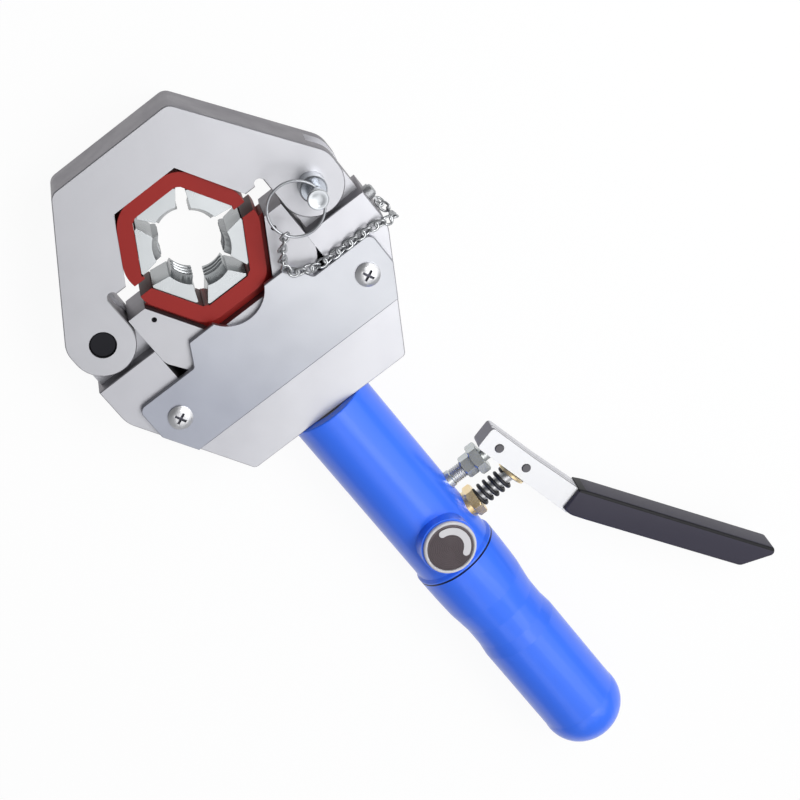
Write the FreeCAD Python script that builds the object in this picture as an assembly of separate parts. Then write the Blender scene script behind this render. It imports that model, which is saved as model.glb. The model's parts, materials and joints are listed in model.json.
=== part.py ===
import FreeCAD, Part
import math
import os

# Hand hydraulic hose crimper with a swing-open hexagonal head.
# Millimetres. The origin is on the hose's axis, halfway through the head.
# +X is the lever side, +Y runs from the handle to the top of the head,
# and +Z comes out of the head's front face.

os.makedirs("parts", exist_ok=True)

# Head plates
head_thick = 30.0
hex_across = 65.0
yoke_top = 59.2
yoke_top_half = 35.7
yoke_side_start = -8.0
yoke_corner_r = 6.0
yoke_side_r = 14.0
pivot_x = 65.5
pivot_y = -16.5
lobe_r = 16.8
pin_bore_r = 7.0
pin_play = 0.05
jaw_gap = 14.8
relief_r = 2.7
edge_break = 0.5

# Clevis joints at both ends of the yoke
tongue_thick = 12.0
tongue_play = 0.3
tongue_r = 16.0

# Lower frame
frame_side_extra = 0.9
shoulder_drop = 1.9
frame_slant_start = -57.0
frame_bottom = -119.0
frame_bottom_half = 48.5
frame_side_r = 16.0
frame_bottom_r = 3.0
leg_gap = 0.7
ram_side_gap = 0.1

# Pusher block
pusher_face_gap = 0.1
pusher_bottom = -66.0
pusher_side_end = -44.0
pusher_bottom_half = 33.0
pusher_corner_r = 9.0
pusher_floor_gap = 1.0
grub_r = 1.4
grub_depth = 6.0
grub_x = 37.6
grub_y = -22.3

# Cover plates and their screws
plate_thick = 3.0
plate_side_gap = 9.5
plate_shoulder = -54.0
plate_crown = -41.8
plate_crown_half = 31.5
plate_jog_half = 38.0
plate_bottom = -91.0
plate_notch_r = 18.5
plate_notch_y = -32.9
plate_corner_r = 4.0
plate_inset = 0.3
screw_x = 59.7
screw_y = -70.5
screw_head_r = 6.4
screw_head_h = 2.6
screw_r = 3.0
screw_len = 9.0
screw_recess = 1.5
screw_slot = 1.3

# Die set
die_thick = 26.0
die_wall = 8.4
upper_die_end = -3.2
lower_die_lift = 4.4
lower_die_end = -9.0
lower_round_r = 12.0
upper_round_r = 18.0
upper_inner_r = 5.0
lower_inner_r = 7.0
die_seat_gap = 0.1
lower_rim_depth = 5.0
segment_height = 10.0
segment_base_half = 12.2
segment_tip_half = 5.8
segment_tip_drop = 1.6
segment_ratio = 0.5316
segment_gap = 0.15
key_half_len = 6.0
key_half_width = 4.0
key_depth = 3.0
key_end_gap = 0.3
rib_count = 3
rib_pitch = 4.4
rib_height = 0.8

# Ram, piston and cylinder
ram_stroke = 5.7
rod_r = 11.0
rod_play = 0.05
rod_spigot_r = 8.0
rod_spigot_len = 12.0
barrel_r = 22.7
barrel_bottom = -235.0
barrel_flare = 1.3
barrel_flare_len = 3.0
cylinder_r = 17.0
cylinder_end = -188.0
piston_top = -170.0
piston_len = 14.0
piston_play = 0.05
spigot_len = 15.0
seal_section_r = 1.3
ram_spring_wire = 1.3
ram_spring_turns = 5

# Reservoir handle
handle_seal_y = -244.0
handle_end = -379.2
handle_shoulder_r = 23.4
handle_waist_r = 21.7
handle_body_r = 22.7
handle_waist_y = -282.0
handle_waist_half = 6.0
handle_taper_len = 14.0
handle_swell_len = 8.0
handle_wall = 3.2
handle_round = 24.0
handle_spigot_r = 19.0
handle_spigot_len = 14.0
bladder_gap = 0.6
bladder_wall = 1.6

# Release valve
valve_height = 20.0
valve_turn_deg = 8.0
valve_boss_r = 15.4
valve_boss_top = 29.0
knob_r = 14.4
knob_ring_wall = 1.6
knob_thick = 2.6
knob_gap = 0.2
knob_recess = 0.7
valve_stem_r = 4.0
valve_stem_tip = 5.0
valve_tip_len = 4.0
valve_tip_r = 0.6

# Pump
pump_height = 18.5
stud_rise = 18.8
spot_face = 2.0
fulcrum_reach = 32.3
stud_r = 4.0
stud_collar_r = 4.8
stud_collar_len = 4.8
stud_hold = 8.5
stud_eye_r = 4.5
thread_play = 0.02
lock_nut_af = 11.2
lock_nut_len = 6.4
lock_nut_gap = 10.3
big_nut_af = 15.6
big_nut_len = 5.6
gland_af = 15.6
gland_gap = 1.5
gland_len = 5.0
gland_thread_r = 7.4
plunger_bore_r = 5.0
plunger_tip_x = 14.0
plunger_eye_half = 4.2
lever_pin_r = 2.5
plunger_rod_r = 3.6
plunger_step_gap = 0.2
plunger_spring_r = 6.1
plunger_spring_wire = 1.0
plunger_spring_turns = 5
washer_r = 8.2
washer_thick = 2.0
check_ball_r = 2.5
check_bore_r = 3.2
delivery_depth = 14.0
suction_depth = 21.0
check_plug_len = 3.0
passage_r = 1.5
gallery_x = 3.2
seal_len = 2.4
seal_out_r = 7.2

# Lever
lever_lean_deg = 13.5
lever_swing_deg = 25.0
lever_wide = 13.4
channel_z = 13.0
channel_wall = 2.0
channel_top = 9.8
channel_end = 55.0
channel_flare = 1.2
channel_flare_start = 20.0
grip_z = 18.4
grip_edge_r = 1.6
grip_throat_x = 6.7
grip_throat_y = 50.95
grip_heel_x = 6.9
grip_heel_y = 55.8
grip_bend_x = 12.0
grip_bend_y = 64.3
grip_toe_x = 63.0
grip_toe_y = 145.3
grip_tip_x = 81.6
grip_tip_y = 152.5
grip_end_x = 84.2
grip_end_y = 149.3
grip_back_x = 23.6
grip_back_y = 51.9
grip_collar_x = 19.9
grip_collar_y = 47.2
grip_bend_r = 12.0
grip_toe_r = 5.0
grip_tip_r = 2.6

# Lock pin
lock_pin_nose = 6.7
lock_body_top = 24.0
lock_neck_r = 3.9
lock_pin_top = 36.5
nose_wall = 3.0
lock_button_r = 5.3
lock_button_thick = 2.4
lock_button_travel = 2.0
button_gap = 0.1
lock_bore_r = 1.3
stem_r = 1.1
detent_z = 11.5
detent_r = 1.6
ring_z = 30.7
ring_r = 14.2
ring_wire_r = 0.7
ring_offset = 2.2
ring_hole_r = 1.2

# Springs are drawn with this many steps to a turn and sides to the wire
coil_steps = 12
coil_sides = 6

# Tether chain and its anchor screw
anchor_y = -41.0
anchor_z = 4.0
anchor_screw_r = 2.0
anchor_screw_len = 8.0
anchor_head_r = 3.2
anchor_drop = 5.4
tab_thick = 1.2
eyelet_r = 2.6
eyelet_hole_r = 1.4
link_len = 5.6
link_wide = 3.5
link_wire = 0.9
link_pitch = 3.85
link_gap = 0.3

# Values worked out from the driving dimensions
half = head_thick / 2
apothem = hex_across / 2
leg_inner = pivot_x - lobe_r
side_x = pivot_x + lobe_r
frame_half = side_x + frame_side_extra
plate_half = frame_half - plate_side_gap
shoulder_y = pivot_y - lobe_r - shoulder_drop
cavity_half = leg_inner - leg_gap
pusher_half = cavity_half - ram_side_gap
cavity_floor = pusher_bottom - pusher_floor_gap
face_z = half + plate_thick
barrel_top = frame_bottom
flange_thick = (link_wide + tab_thick) / 2 + 2 * link_gap
button_foot = lock_pin_top + lock_button_travel + button_gap
die_inner = apothem - die_wall
pin_r = pin_bore_r - pin_play
lean = math.radians(lever_lean_deg)
swing = math.radians(lever_swing_deg)
segment_shift = ram_stroke * segment_ratio
handle_top_r = barrel_r + barrel_flare
valve_y = barrel_bottom + valve_height
plunger_y = barrel_bottom + pump_height
stud_y = plunger_y + stud_rise
fulcrum_x = barrel_r + fulcrum_reach
plunger_pin_x = fulcrum_x + stud_rise * math.tan(lean)
gland_x = barrel_r + gland_gap
plunger_step_x = gland_x + gland_len - plunger_step_gap
plunger_arm = math.hypot(plunger_pin_x - fulcrum_x, plunger_y - stud_y)
plunger_travel = plunger_arm * (math.sin(lean) - math.sin(lean - swing))
pump_bore_start = plunger_tip_x - plunger_travel - 1.0


def vec(x, y, z=0.0):
    return FreeCAD.Vector(x, y, z)


AXIS_X = vec(1, 0, 0)
AXIS_Y = vec(0, 1, 0)
AXIS_Z = vec(0, 0, 1)


def save(name, shape):
    shape.exportStep("parts/" + name + ".step")


def group(shapes):
    return Part.makeCompound(shapes)


def rounded_wire(corners):
    """Closed outline in the XY plane; each corner is (x, y) or (x, y, radius)."""
    count = len(corners)
    starts = []
    arcs = []
    for i in range(count):
        here = vec(corners[i][0], corners[i][1])
        before = vec(corners[i - 1][0], corners[i - 1][1])
        after = vec(corners[(i + 1) % count][0], corners[(i + 1) % count][1])
        radius = corners[i][2] if len(corners[i]) > 2 else 0.0
        if radius <= 0:
            starts.append((here, here))
            arcs.append(None)
            continue
        back = (before - here).normalize()
        ahead = (after - here).normalize()
        angle = back.getAngle(ahead)
        reach = radius / math.tan(angle / 2)
        first = here + back * reach
        last = here + ahead * reach
        bisector = (back + ahead).normalize()
        centre = here + bisector * (radius / math.sin(angle / 2))
        middle = centre - bisector * radius
        starts.append((first, last))
        arcs.append(Part.Arc(first, middle, last).toShape())
    edges = []
    for i in range(count):
        if arcs[i]:
            edges.append(arcs[i])
        leave = starts[i][1]
        arrive = starts[(i + 1) % count][0]
        if leave.distanceToPoint(arrive) > 1e-6:
            edges.append(Part.LineSegment(leave, arrive).toShape())
    return Part.Wire(edges)


def plate(corners, z_low, z_high):
    wire = rounded_wire(corners)
    wire.translate(vec(0, 0, z_low))
    return Part.Face(wire).extrude(vec(0, 0, z_high - z_low))


def both_sides(right_half):
    """Full outline from its right half, listed from the top to the bottom."""
    left = []
    for corner in reversed(right_half):
        if abs(corner[0]) > 1e-9:
            left.append((-corner[0],) + tuple(corner[1:]))
    return list(right_half) + left


def bevelled_plate(corners, z_low, z_high, faces):
    """Plate whose outline is bevelled on the named faces."""
    solid = plate(corners, z_low, z_high)
    for z in faces:
        edges = [edge for edge in solid.Edges if lies_in(edge, z)]
        solid = solid.makeChamfer(edge_break, edges)
    return solid


def lies_in(edge, z):
    bounds = edge.BoundBox
    return abs(bounds.ZMin - z) < 1e-4 and abs(bounds.ZMax - z) < 1e-4


def box(x0, x1, y0, y1, z0, z1):
    return Part.makeBox(x1 - x0, y1 - y0, z1 - z0, vec(x0, y0, z0))


def rod(base, axis, radius, length):
    return Part.makeCylinder(radius, length, base, axis)


def turned(profile, base, axis):
    """Solid of revolution; the profile is (distance along the axis, radius)."""
    points = [vec(r, 0, a) for a, r in profile]
    face = Part.Face(Part.makePolygon(points + [points[0]]))
    solid = face.revolve(vec(0, 0, 0), AXIS_Z, 360)
    solid.rotate(vec(0, 0, 0), *turn_from_z(axis))
    solid.translate(base)
    return solid


def turn_from_z(axis):
    turn = FreeCAD.Rotation(AXIS_Z, axis)
    return turn.Axis, math.degrees(turn.Angle)


def wire_ring(base, axis, ring, section):
    """Round wire bent into a ring, with an eight-sided section."""
    profile = []
    for k in range(8):
        around = math.pi / 8 + math.pi * k / 4
        profile.append((section * math.sin(around), ring + section * math.cos(around)))
    return turned(profile, base, axis)


def hex_prism(base, axis, across, length):
    """Hexagonal prism standing on base, with two flats facing along Z where it can."""
    radius = across / math.sqrt(3)
    corners = []
    for i in range(6):
        angle = math.radians(60 * i)
        corners.append((radius * math.cos(angle), radius * math.sin(angle)))
    solid = plate(corners, 0, length)
    solid.rotate(vec(0, 0, 0), *turn_from_z(axis))
    solid.translate(base)
    return solid


def coil(base, axis, mean_r, wire_r, length, turns):
    """Compression spring: ruled sections of the wire, set round a helix."""
    travel = length - 2 * wire_r
    sections = []
    count = coil_steps * turns
    for i in range(count + 1):
        angle = 2 * math.pi * i / coil_steps
        height = wire_r + travel * i / count
        corners = []
        for k in range(coil_sides):
            around = 2 * math.pi * (k + 0.5) / coil_sides
            reach = mean_r + wire_r * math.cos(around)
            corners.append(vec(reach * math.cos(angle), reach * math.sin(angle),
                               height + wire_r * math.sin(around)))
        sections.append(Part.makePolygon(corners + [corners[0]]))
    solid = Part.makeLoft(sections, True, True)
    solid.rotate(vec(0, 0, 0), *turn_from_z(axis))
    solid.translate(base)
    return solid


def hex_corners(centre_y, flat_distance, radius=0.0):
    """Corners of a hexagon with its flats at the top and the bottom."""
    side = flat_distance * 2 / math.sqrt(3)
    low = []
    for i in range(6):
        angle = math.radians(60 * i)
        low.append((side * math.cos(angle), centre_y + side * math.sin(angle), radius))
    return low


# Yoke, a clevis at both ends

def make_yoke():
    outline = both_sides([
        (yoke_top_half, yoke_top, yoke_corner_r),
        (side_x, yoke_side_start, yoke_side_r),
        (side_x, pivot_y),
        (leg_inner, pivot_y),
        (leg_inner, 0),
        (0, 0),
    ])
    yoke = bevelled_plate(outline, -half, half, (-half, half))
    for side in (-1, 1):
        lobe = turned([
            (-half, 0), (-half, lobe_r - edge_break), (-half + edge_break, lobe_r),
            (half - edge_break, lobe_r), (half, lobe_r - edge_break), (half, 0),
        ], vec(side * pivot_x, pivot_y, 0), AXIS_Z)
        yoke = yoke.fuse(lobe)
    yoke = yoke.cut(plate(hex_corners(0, apothem), -half, half))
    slot_half = tongue_thick / 2 + tongue_play
    slot_top = pivot_y + lobe_r + tongue_play
    for side in (-1, 1):
        inner = side * (leg_inner - relief_r)
        outer = side * (side_x + 1)
        slot = box(min(inner, outer), max(inner, outer), pivot_y - lobe_r - 1, slot_top,
                   -slot_half, slot_half)
        relief = rod(vec(inner, 0, -half), AXIS_Z, relief_r, head_thick)
        bore = rod(vec(side * pivot_x, pivot_y, -half), AXIS_Z, pin_bore_r, head_thick)
        yoke = yoke.cut(slot).cut(relief).cut(bore)
    return yoke.removeSplitter()


# Lower frame with a tongue on each side and the ram's bore

def make_lower_frame():
    outline = both_sides([
        (frame_half, shoulder_y),
        (frame_half, frame_slant_start, frame_side_r),
        (frame_bottom_half, frame_bottom, frame_bottom_r),
    ])
    frame = bevelled_plate(outline, -half, half, (-half, half))
    for side in (-1, 1):
        tongue = rod(vec(side * pivot_x, pivot_y, -tongue_thick / 2), AXIS_Z,
                     tongue_r, tongue_thick)
        stem_low = side * (pivot_x - tongue_r)
        stem_high = side * (pivot_x + tongue_r)
        stem = box(min(stem_low, stem_high), max(stem_low, stem_high), shoulder_y, pivot_y,
                   -tongue_thick / 2, tongue_thick / 2)
        frame = frame.fuse(tongue).fuse(stem)
    spigot = rod(vec(0, frame_bottom, 0), vec(0, -1, 0), cylinder_r - piston_play, spigot_len)
    frame = frame.fuse(spigot)
    cavity = plate([
        (-cavity_half, shoulder_y + 1), (-cavity_half, cavity_floor, 5.0),
        (cavity_half, cavity_floor, 5.0), (cavity_half, shoulder_y + 1),
    ], -half, half)
    frame = frame.cut(cavity)
    rod_bore = rod(vec(0, cavity_floor, 0), vec(0, -1, 0), rod_r + rod_play, 120)
    frame = frame.cut(rod_bore)
    for side in (-1, 1):
        bore = rod(vec(side * pivot_x, pivot_y, -half), AXIS_Z, pin_bore_r, head_thick)
        frame = frame.cut(bore)
        for face in (-1, 1):
            hole = rod(vec(side * screw_x, screw_y, face * half), vec(0, 0, -face),
                       screw_r, screw_len)
            frame = frame.cut(hole)
    anchor_hole = rod(vec(frame_half, anchor_y, anchor_z), vec(-1, 0, 0), anchor_screw_r,
                      anchor_screw_len)
    return frame.cut(anchor_hole).removeSplitter()


# Pusher block, which carries the lower half of the hexagonal seat

def make_pusher():
    top = -jaw_gap
    z_half = half - pusher_face_gap
    outline = both_sides([
        (pusher_half, top),
        (pusher_half, pusher_side_end, pusher_corner_r),
        (pusher_bottom_half, pusher_bottom, 3.0),
    ])
    pusher = plate(outline, -z_half, z_half)
    pusher = pusher.cut(plate(hex_corners(top, apothem), -z_half, z_half))
    socket = rod(vec(0, pusher_bottom, 0), AXIS_Y, rod_spigot_r, rod_spigot_len)
    pusher = pusher.cut(socket)
    for hole in grub_places().values():
        pusher = pusher.cut(rod(hole, vec(0, 0, -1), grub_r, grub_depth))
    return pusher.removeSplitter()


def grub_places():
    z_half = half - pusher_face_gap
    return {"left": vec(-grub_x, grub_y, z_half), "right": vec(grub_x, grub_y, z_half)}


def make_grub_screw(place):
    screw = rod(place + vec(0, 0, -grub_depth), AXIS_Z, grub_r, grub_depth - 1.0)
    key = hex_prism(place + vec(0, 0, -2.4), AXIS_Z, grub_r, 2.0)
    return screw.cut(key)


# Cover plates, one on each face of the lower frame

def make_cover_plate(face):
    slope = (frame_half - frame_bottom_half) / (frame_slant_start - frame_bottom)

    def slant_x(y):
        return frame_bottom_half + (y - frame_bottom) * slope - plate_inset

    slant_meet = frame_bottom + (plate_half + plate_inset - frame_bottom_half) / slope
    notch_half = math.sqrt(plate_notch_r ** 2 - (plate_crown - plate_notch_y) ** 2)
    outline = both_sides([
        (notch_half, plate_crown),
        (plate_crown_half, plate_crown, 1.5),
        (plate_jog_half, plate_shoulder, 2.0),
        (plate_half, plate_shoulder, plate_corner_r),
        (plate_half, slant_meet, 2.0),
        (slant_x(plate_bottom), plate_bottom),
    ])
    cover = bevelled_plate(outline, half, face_z, (face_z,))
    cover = cover.cut(rod(vec(0, plate_notch_y, half), AXIS_Z, plate_notch_r, plate_thick))
    for side in (-1, 1):
        cover = cover.cut(rod(vec(side * screw_x, screw_y, half), AXIS_Z, screw_r, plate_thick))
    if face < 0:
        cover.rotate(vec(0, 0, 0), AXIS_Y, 180)
    return cover


def make_cover_screw(side, face):
    """Cross-headed screw; side is -1 or 1 across, face is -1 at the back."""
    head = turned([
        (0, 0), (0, screw_head_r), (screw_head_h * 0.35, screw_head_r),
        (screw_head_h * 0.8, screw_head_r * 0.72), (screw_head_h, screw_head_r * 0.4),
        (screw_head_h, 0),
    ], vec(0, 0, face_z), AXIS_Z)
    shank = rod(vec(0, 0, face_z), vec(0, 0, -1), screw_r, plate_thick + screw_len - 1)
    screw = head.fuse(shank)
    for angle in (25, 115):
        cross = box(-screw_head_r * 0.5, screw_head_r * 0.5, -screw_slot / 2, screw_slot / 2,
                    face_z + screw_head_h - screw_recess, face_z + screw_head_h + 1)
        cross.rotate(vec(0, 0, 0), AXIS_Z, angle)
        screw = screw.cut(cross)
    if face < 0:
        screw.rotate(vec(0, 0, 0), AXIS_Y, 180)
    screw.translate(vec(side * screw_x, screw_y, 0))
    return screw


# Hinge pin and the quick-release lock pin

def make_hinge_pin():
    end = half - 1.0
    return turned([
        (-end, 0), (-end, pin_r - 0.8), (-end + 0.8, pin_r), (end - 0.8, pin_r),
        (end, pin_r - 0.8), (end, 0),
    ], vec(-pivot_x, pivot_y, 0), AXIS_Z)


def lock_at(z):
    return vec(pivot_x, pivot_y, z)


def make_lock_pin():
    """Thick body that locks the joint, with a neck that carries the ring and the button."""
    pin = turned([
        (lock_pin_nose, 0), (lock_pin_nose, pin_r - 1.2), (lock_pin_nose + 1.2, pin_r),
        (lock_body_top - 0.8, pin_r), (lock_body_top, pin_r - 0.8), (lock_body_top, lock_neck_r),
        (lock_pin_top - edge_break, lock_neck_r), (lock_pin_top, lock_neck_r - edge_break),
        (lock_pin_top, 0),
    ], lock_at(0), AXIS_Z)
    bore = rod(lock_at(lock_pin_nose + nose_wall), AXIS_Z, lock_bore_r, lock_pin_top)
    cross_hole = rod(vec(pivot_x + ring_offset, pivot_y - 20, ring_z), AXIS_Y, ring_hole_r, 40)
    pin = pin.cut(bore).cut(cross_hole)
    for side in (-1, 1):
        seat = rod(lock_at(detent_z), vec(side, 0, 0), detent_r + pin_play, pin_r + 1)
        pin = pin.cut(seat)
    return pin


def make_detent_ball(side):
    reach = pin_r - detent_r - 0.1
    return Part.makeSphere(detent_r, vec(pivot_x + side * reach, pivot_y, detent_z))


def make_lock_button():
    """Cap on a thin stem that goes down through the pin."""
    top = button_foot + lock_button_thick
    stem_end = lock_pin_nose + nose_wall + lock_button_travel + button_gap
    return turned([
        (stem_end, 0), (stem_end, stem_r), (button_foot, stem_r), (button_foot, lock_button_r - 0.4),
        (button_foot + 0.4, lock_button_r), (top - 0.8, lock_button_r),
        (top, lock_button_r - 0.8), (top, 0),
    ], lock_at(0), AXIS_Z)


# Die set: two carriers and six segments

def make_upper_carrier():
    z_half = die_thick / 2
    outer = plate(hex_corners(0, apothem - die_seat_gap, upper_round_r), -z_half, z_half)
    skirt = box(-apothem * 1.15, apothem * 1.15, upper_die_end, 0.5, -z_half, z_half)
    keep = box(-100, 100, upper_die_end, 100, -z_half, z_half)
    inner = plate(hex_corners(0, die_inner, upper_inner_r), -z_half, z_half)
    band = outer.fuse(skirt.common(outer)).common(keep)
    carrier = band.cut(inner)
    inner_drop = box(-die_inner * 1.1547, die_inner * 1.1547, upper_die_end - 1, 0.2,
                     -z_half, z_half)
    carrier = carrier.cut(inner_drop)
    for turn in (60, 0, -60):
        travel = segment_shift if turn else 0.0
        carrier = carrier.cut(key_pocket(turn, travel, 0.0)).cut(segment_room(turn, travel, 0.0))
    return carrier.removeSplitter()


def key_pocket(turn, travel, centre_y):
    """Groove in a carrier wall for the key on the back of a segment."""
    side = key_half_len + key_end_gap
    z_half = key_half_width + segment_gap
    return seat_cut(turn, travel, centre_y, side, die_inner + key_depth + key_end_gap, z_half)


def segment_room(turn, travel, centre_y):
    """Room that a segment's back takes up as it slides along its seat."""
    return seat_cut(turn, travel, centre_y, segment_base_half + segment_gap, die_inner, die_thick)


def seat_cut(turn, travel, centre_y, side, high, z_half):
    """Box cut behind a segment, longer by the travel on the side it is drawn back to."""
    low = die_inner - segment_height
    if turn in (-60, 120):
        span = (-side, side + travel)
    else:
        span = (-side - travel, side)
    cutter = box(span[0], span[1], low, high, -z_half, z_half)
    cutter.rotate(vec(0, 0, 0), AXIS_Z, turn)
    cutter.translate(vec(0, centre_y, 0))
    return cutter


def lower_centre():
    """Height of the lower die's own centre while the ram is drawn back."""
    return -jaw_gap + lower_die_lift


def make_lower_carrier():
    z_half = die_thick / 2
    centre = lower_centre()
    rim_corners = hex_corners(centre, apothem - die_seat_gap, lower_round_r)
    rim = plate(rim_corners, -z_half, z_half)
    body = plate(hex_corners(-jaw_gap, apothem - die_seat_gap, 1.0),
                 -z_half + lower_rim_depth, z_half - lower_rim_depth)
    body = body.cut(box(-100, 100, -jaw_gap, 100, -z_half, z_half))
    keep = box(-100, 100, -100, lower_die_end, -z_half, z_half)
    inner = plate(hex_corners(centre, die_inner, lower_inner_r), -z_half, z_half)
    carrier = rim.common(keep).fuse(body).cut(inner)
    pad = plate(hex_corners(-jaw_gap, apothem - die_seat_gap, 1.0), -z_half, z_half)
    carrier = carrier.common(pad.fuse(box(-pusher_half, pusher_half, -jaw_gap, 20, -z_half, z_half)))
    for turn in (120, 180, -120):
        travel = segment_shift if abs(turn) == 120 else 0.0
        carrier = carrier.cut(key_pocket(turn, travel, centre)).cut(segment_room(turn, travel, centre))
    return carrier.removeSplitter()


def make_segment(turn, centre_y):
    """Die segment, drawn about +Y, then turned to its place in the ring."""
    z_half = die_thick / 2 - 1.0
    base = die_inner - segment_gap
    tip = die_inner - segment_height
    step = tip + segment_tip_drop
    slope = (segment_base_half - segment_tip_half - 0.6) / (base - step)
    outline = both_sides([
        (segment_base_half - 0.9, base),
        (segment_base_half, base - 0.9),
        (segment_base_half - slope * (base - step), step),
        (segment_tip_half, step),
        (segment_tip_half, tip - 1.5),
    ])
    segment = plate(outline, -z_half, z_half)
    segment = segment.cut(mouth_cutter(z_half, tip))
    key = box(-key_half_len, key_half_len, base - 0.5, die_inner + key_depth,
              -key_half_width, key_half_width)
    segment = segment.fuse(key)
    segment.rotate(vec(0, 0, 0), AXIS_Z, turn)
    segment.translate(vec(0, centre_y, 0))
    if turn not in (0, 180):
        segment.translate(along_face(turn) * segment_shift)
    return segment


def along_face(turn):
    """Direction in which a side segment is drawn back along its seat."""
    sign = 1 if turn in (60, 120) else -1
    angle = math.radians(turn)
    tangent = vec(-math.cos(angle), -math.sin(angle), 0) * sign
    if turn in (120, -120):
        tangent = tangent * -1
    return tangent


def mouth_cutter(z_half, tip):
    """Hose-shaped cutter with ribs and a flared front mouth."""
    profile = [(-z_half - 1, 0), (-z_half - 1, tip + 1.6), (-z_half + 1.5, tip)]
    first = -(rib_count - 1) / 2 * rib_pitch - 2.0
    for i in range(rib_count):
        z = first + i * rib_pitch
        profile.append((z - 1.0, tip))
        profile.append((z - 0.6, tip - rib_height))
        profile.append((z + 0.6, tip - rib_height))
        profile.append((z + 1.0, tip))
    profile.append((z_half - 5.5, tip))
    profile.append((z_half + 1, tip + 3.2))
    profile.append((z_half + 1, 0))
    return turned(profile, vec(0, 0, 0), AXIS_Z)


# Ram, cylinder and return spring

def make_piston_rod():
    end = piston_top - piston_len
    main = rod(vec(0, pusher_bottom, 0), vec(0, -1, 0), rod_r, pusher_bottom - piston_top)
    spigot = rod(vec(0, pusher_bottom, 0), AXIS_Y, rod_spigot_r, rod_spigot_len - 0.5)
    tail = rod(vec(0, piston_top, 0), vec(0, -1, 0), rod_spigot_r, piston_top - end)
    return main.fuse(spigot).fuse(tail)


def make_piston():
    outer = cylinder_r - piston_play
    groove = 2 * seal_section_r
    middle = piston_len / 2
    return turned([
        (0, rod_spigot_r), (0, outer - 0.8), (0.8, outer), (middle - groove / 2, outer),
        (middle - groove / 2, outer - groove), (middle + groove / 2, outer - groove),
        (middle + groove / 2, outer), (piston_len, outer), (piston_len, rod_spigot_r),
    ], vec(0, piston_top, 0), vec(0, -1, 0))


def make_piston_seal():
    ring = cylinder_r - seal_section_r - pin_play
    return wire_ring(vec(0, piston_top - piston_len / 2, 0), AXIS_Y, ring, seal_section_r)


def spigot_end():
    return barrel_top - spigot_len


def make_ram_spring():
    mean = (rod_r + cylinder_r) / 2
    length = spigot_end() - piston_top - 0.2
    return coil(vec(0, spigot_end() - 0.1, 0), vec(0, -1, 0), mean, ram_spring_wire, length,
                ram_spring_turns)


def valve_turned(shape):
    """Turn a piece drawn along +Z about the barrel's axis to the valve's side."""
    shape.rotate(vec(0, 0, 0), AXIS_Y, valve_turn_deg)
    return shape


def make_barrel():
    length = barrel_top - barrel_bottom
    flare = barrel_r + barrel_flare
    outside = turned([
        (0, 0), (0, barrel_r - edge_break), (edge_break, barrel_r),
        (length - barrel_flare_len, barrel_r),
        (length - barrel_flare_len * 0.5, flare), (length - edge_break, flare),
        (length, flare - edge_break), (length, 0),
    ], vec(0, barrel_top, 0), vec(0, -1, 0))
    spigot = rod(vec(0, barrel_bottom, 0), vec(0, -1, 0), handle_spigot_r - 0.05,
                 handle_spigot_len)
    boss = valve_turned(rod(vec(0, valve_y, 0), AXIS_Z, valve_boss_r, valve_boss_top))
    barrel = outside.fuse(spigot).fuse(boss)
    cylinder = rod(vec(0, barrel_top, 0), vec(0, -1, 0), cylinder_r, barrel_top - cylinder_end)
    barrel = barrel.cut(cylinder)
    plunger_bore = rod(vec(pump_bore_start, plunger_y, 0), AXIS_X, plunger_bore_r + pin_play, 40)
    gland_room = rod(vec(barrel_r - spot_face, plunger_y, 0), AXIS_X,
                     gland_thread_r + thread_play, 20)
    seal_room = rod(vec(barrel_r - spot_face - seal_len, plunger_y, 0), AXIS_X, seal_out_r, 20)
    stud_room = rod(vec(barrel_r - spot_face, stud_y, 0), AXIS_X, stud_collar_r + 0.3, 20)
    stud_hole = rod(vec(barrel_r - stud_hold - 0.5, stud_y, 0), AXIS_X, stud_r + thread_play, 20)
    gallery = rod(vec(gallery_x, cylinder_end + 1, 0), vec(0, -1, 0), passage_r,
                  cylinder_end - barrel_bottom + handle_spigot_len + 2)
    delivery = rod(vec(gallery_x, cylinder_end + 1, 0), vec(0, -1, 0), check_bore_r,
                   delivery_depth + 1)
    suction_low = barrel_bottom - handle_spigot_len
    suction = rod(vec(gallery_x, suction_low - 1, 0), AXIS_Y, check_bore_r, suction_depth + 1)
    stem_bore = valve_turned(rod(vec(0, valve_y, valve_stem_tip + valve_tip_len), AXIS_Z,
                                 valve_stem_r + pin_play, 60))
    stem_seat = valve_turned(rod(vec(0, valve_y, valve_stem_tip - 4), AXIS_Z, passage_r, 12))
    cone_low = valve_stem_tip - pin_play
    cone_top = valve_stem_tip + valve_tip_len
    stem_cone = valve_turned(turned([
        (cone_low, 0), (cone_low, valve_tip_r + pin_play), (cone_top, valve_stem_r + pin_play),
        (cone_top, 0),
    ], vec(0, valve_y, 0), AXIS_Z))
    for cutter in (plunger_bore, stud_hole, gallery, delivery, suction, stem_bore, stem_seat, stem_cone,
                   gland_room, seal_room, stud_room, handle_seal_groove()):
        barrel = barrel.cut(cutter)
    return barrel.removeSplitter()


def handle_seal_groove():
    depth = 1.8 * seal_section_r
    return turned([(-seal_section_r, handle_spigot_r - depth), (-seal_section_r, handle_spigot_r),
                   (seal_section_r, handle_spigot_r), (seal_section_r, handle_spigot_r - depth)],
                  vec(0, handle_seal_y, 0), AXIS_Y)


def make_handle_seal():
    """Ring that seals the handle on the barrel's spigot."""
    return wire_ring(vec(0, handle_seal_y, 0), AXIS_Y,
                     handle_spigot_r - 0.9 * seal_section_r - pin_play, 0.85 * seal_section_r)


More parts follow.
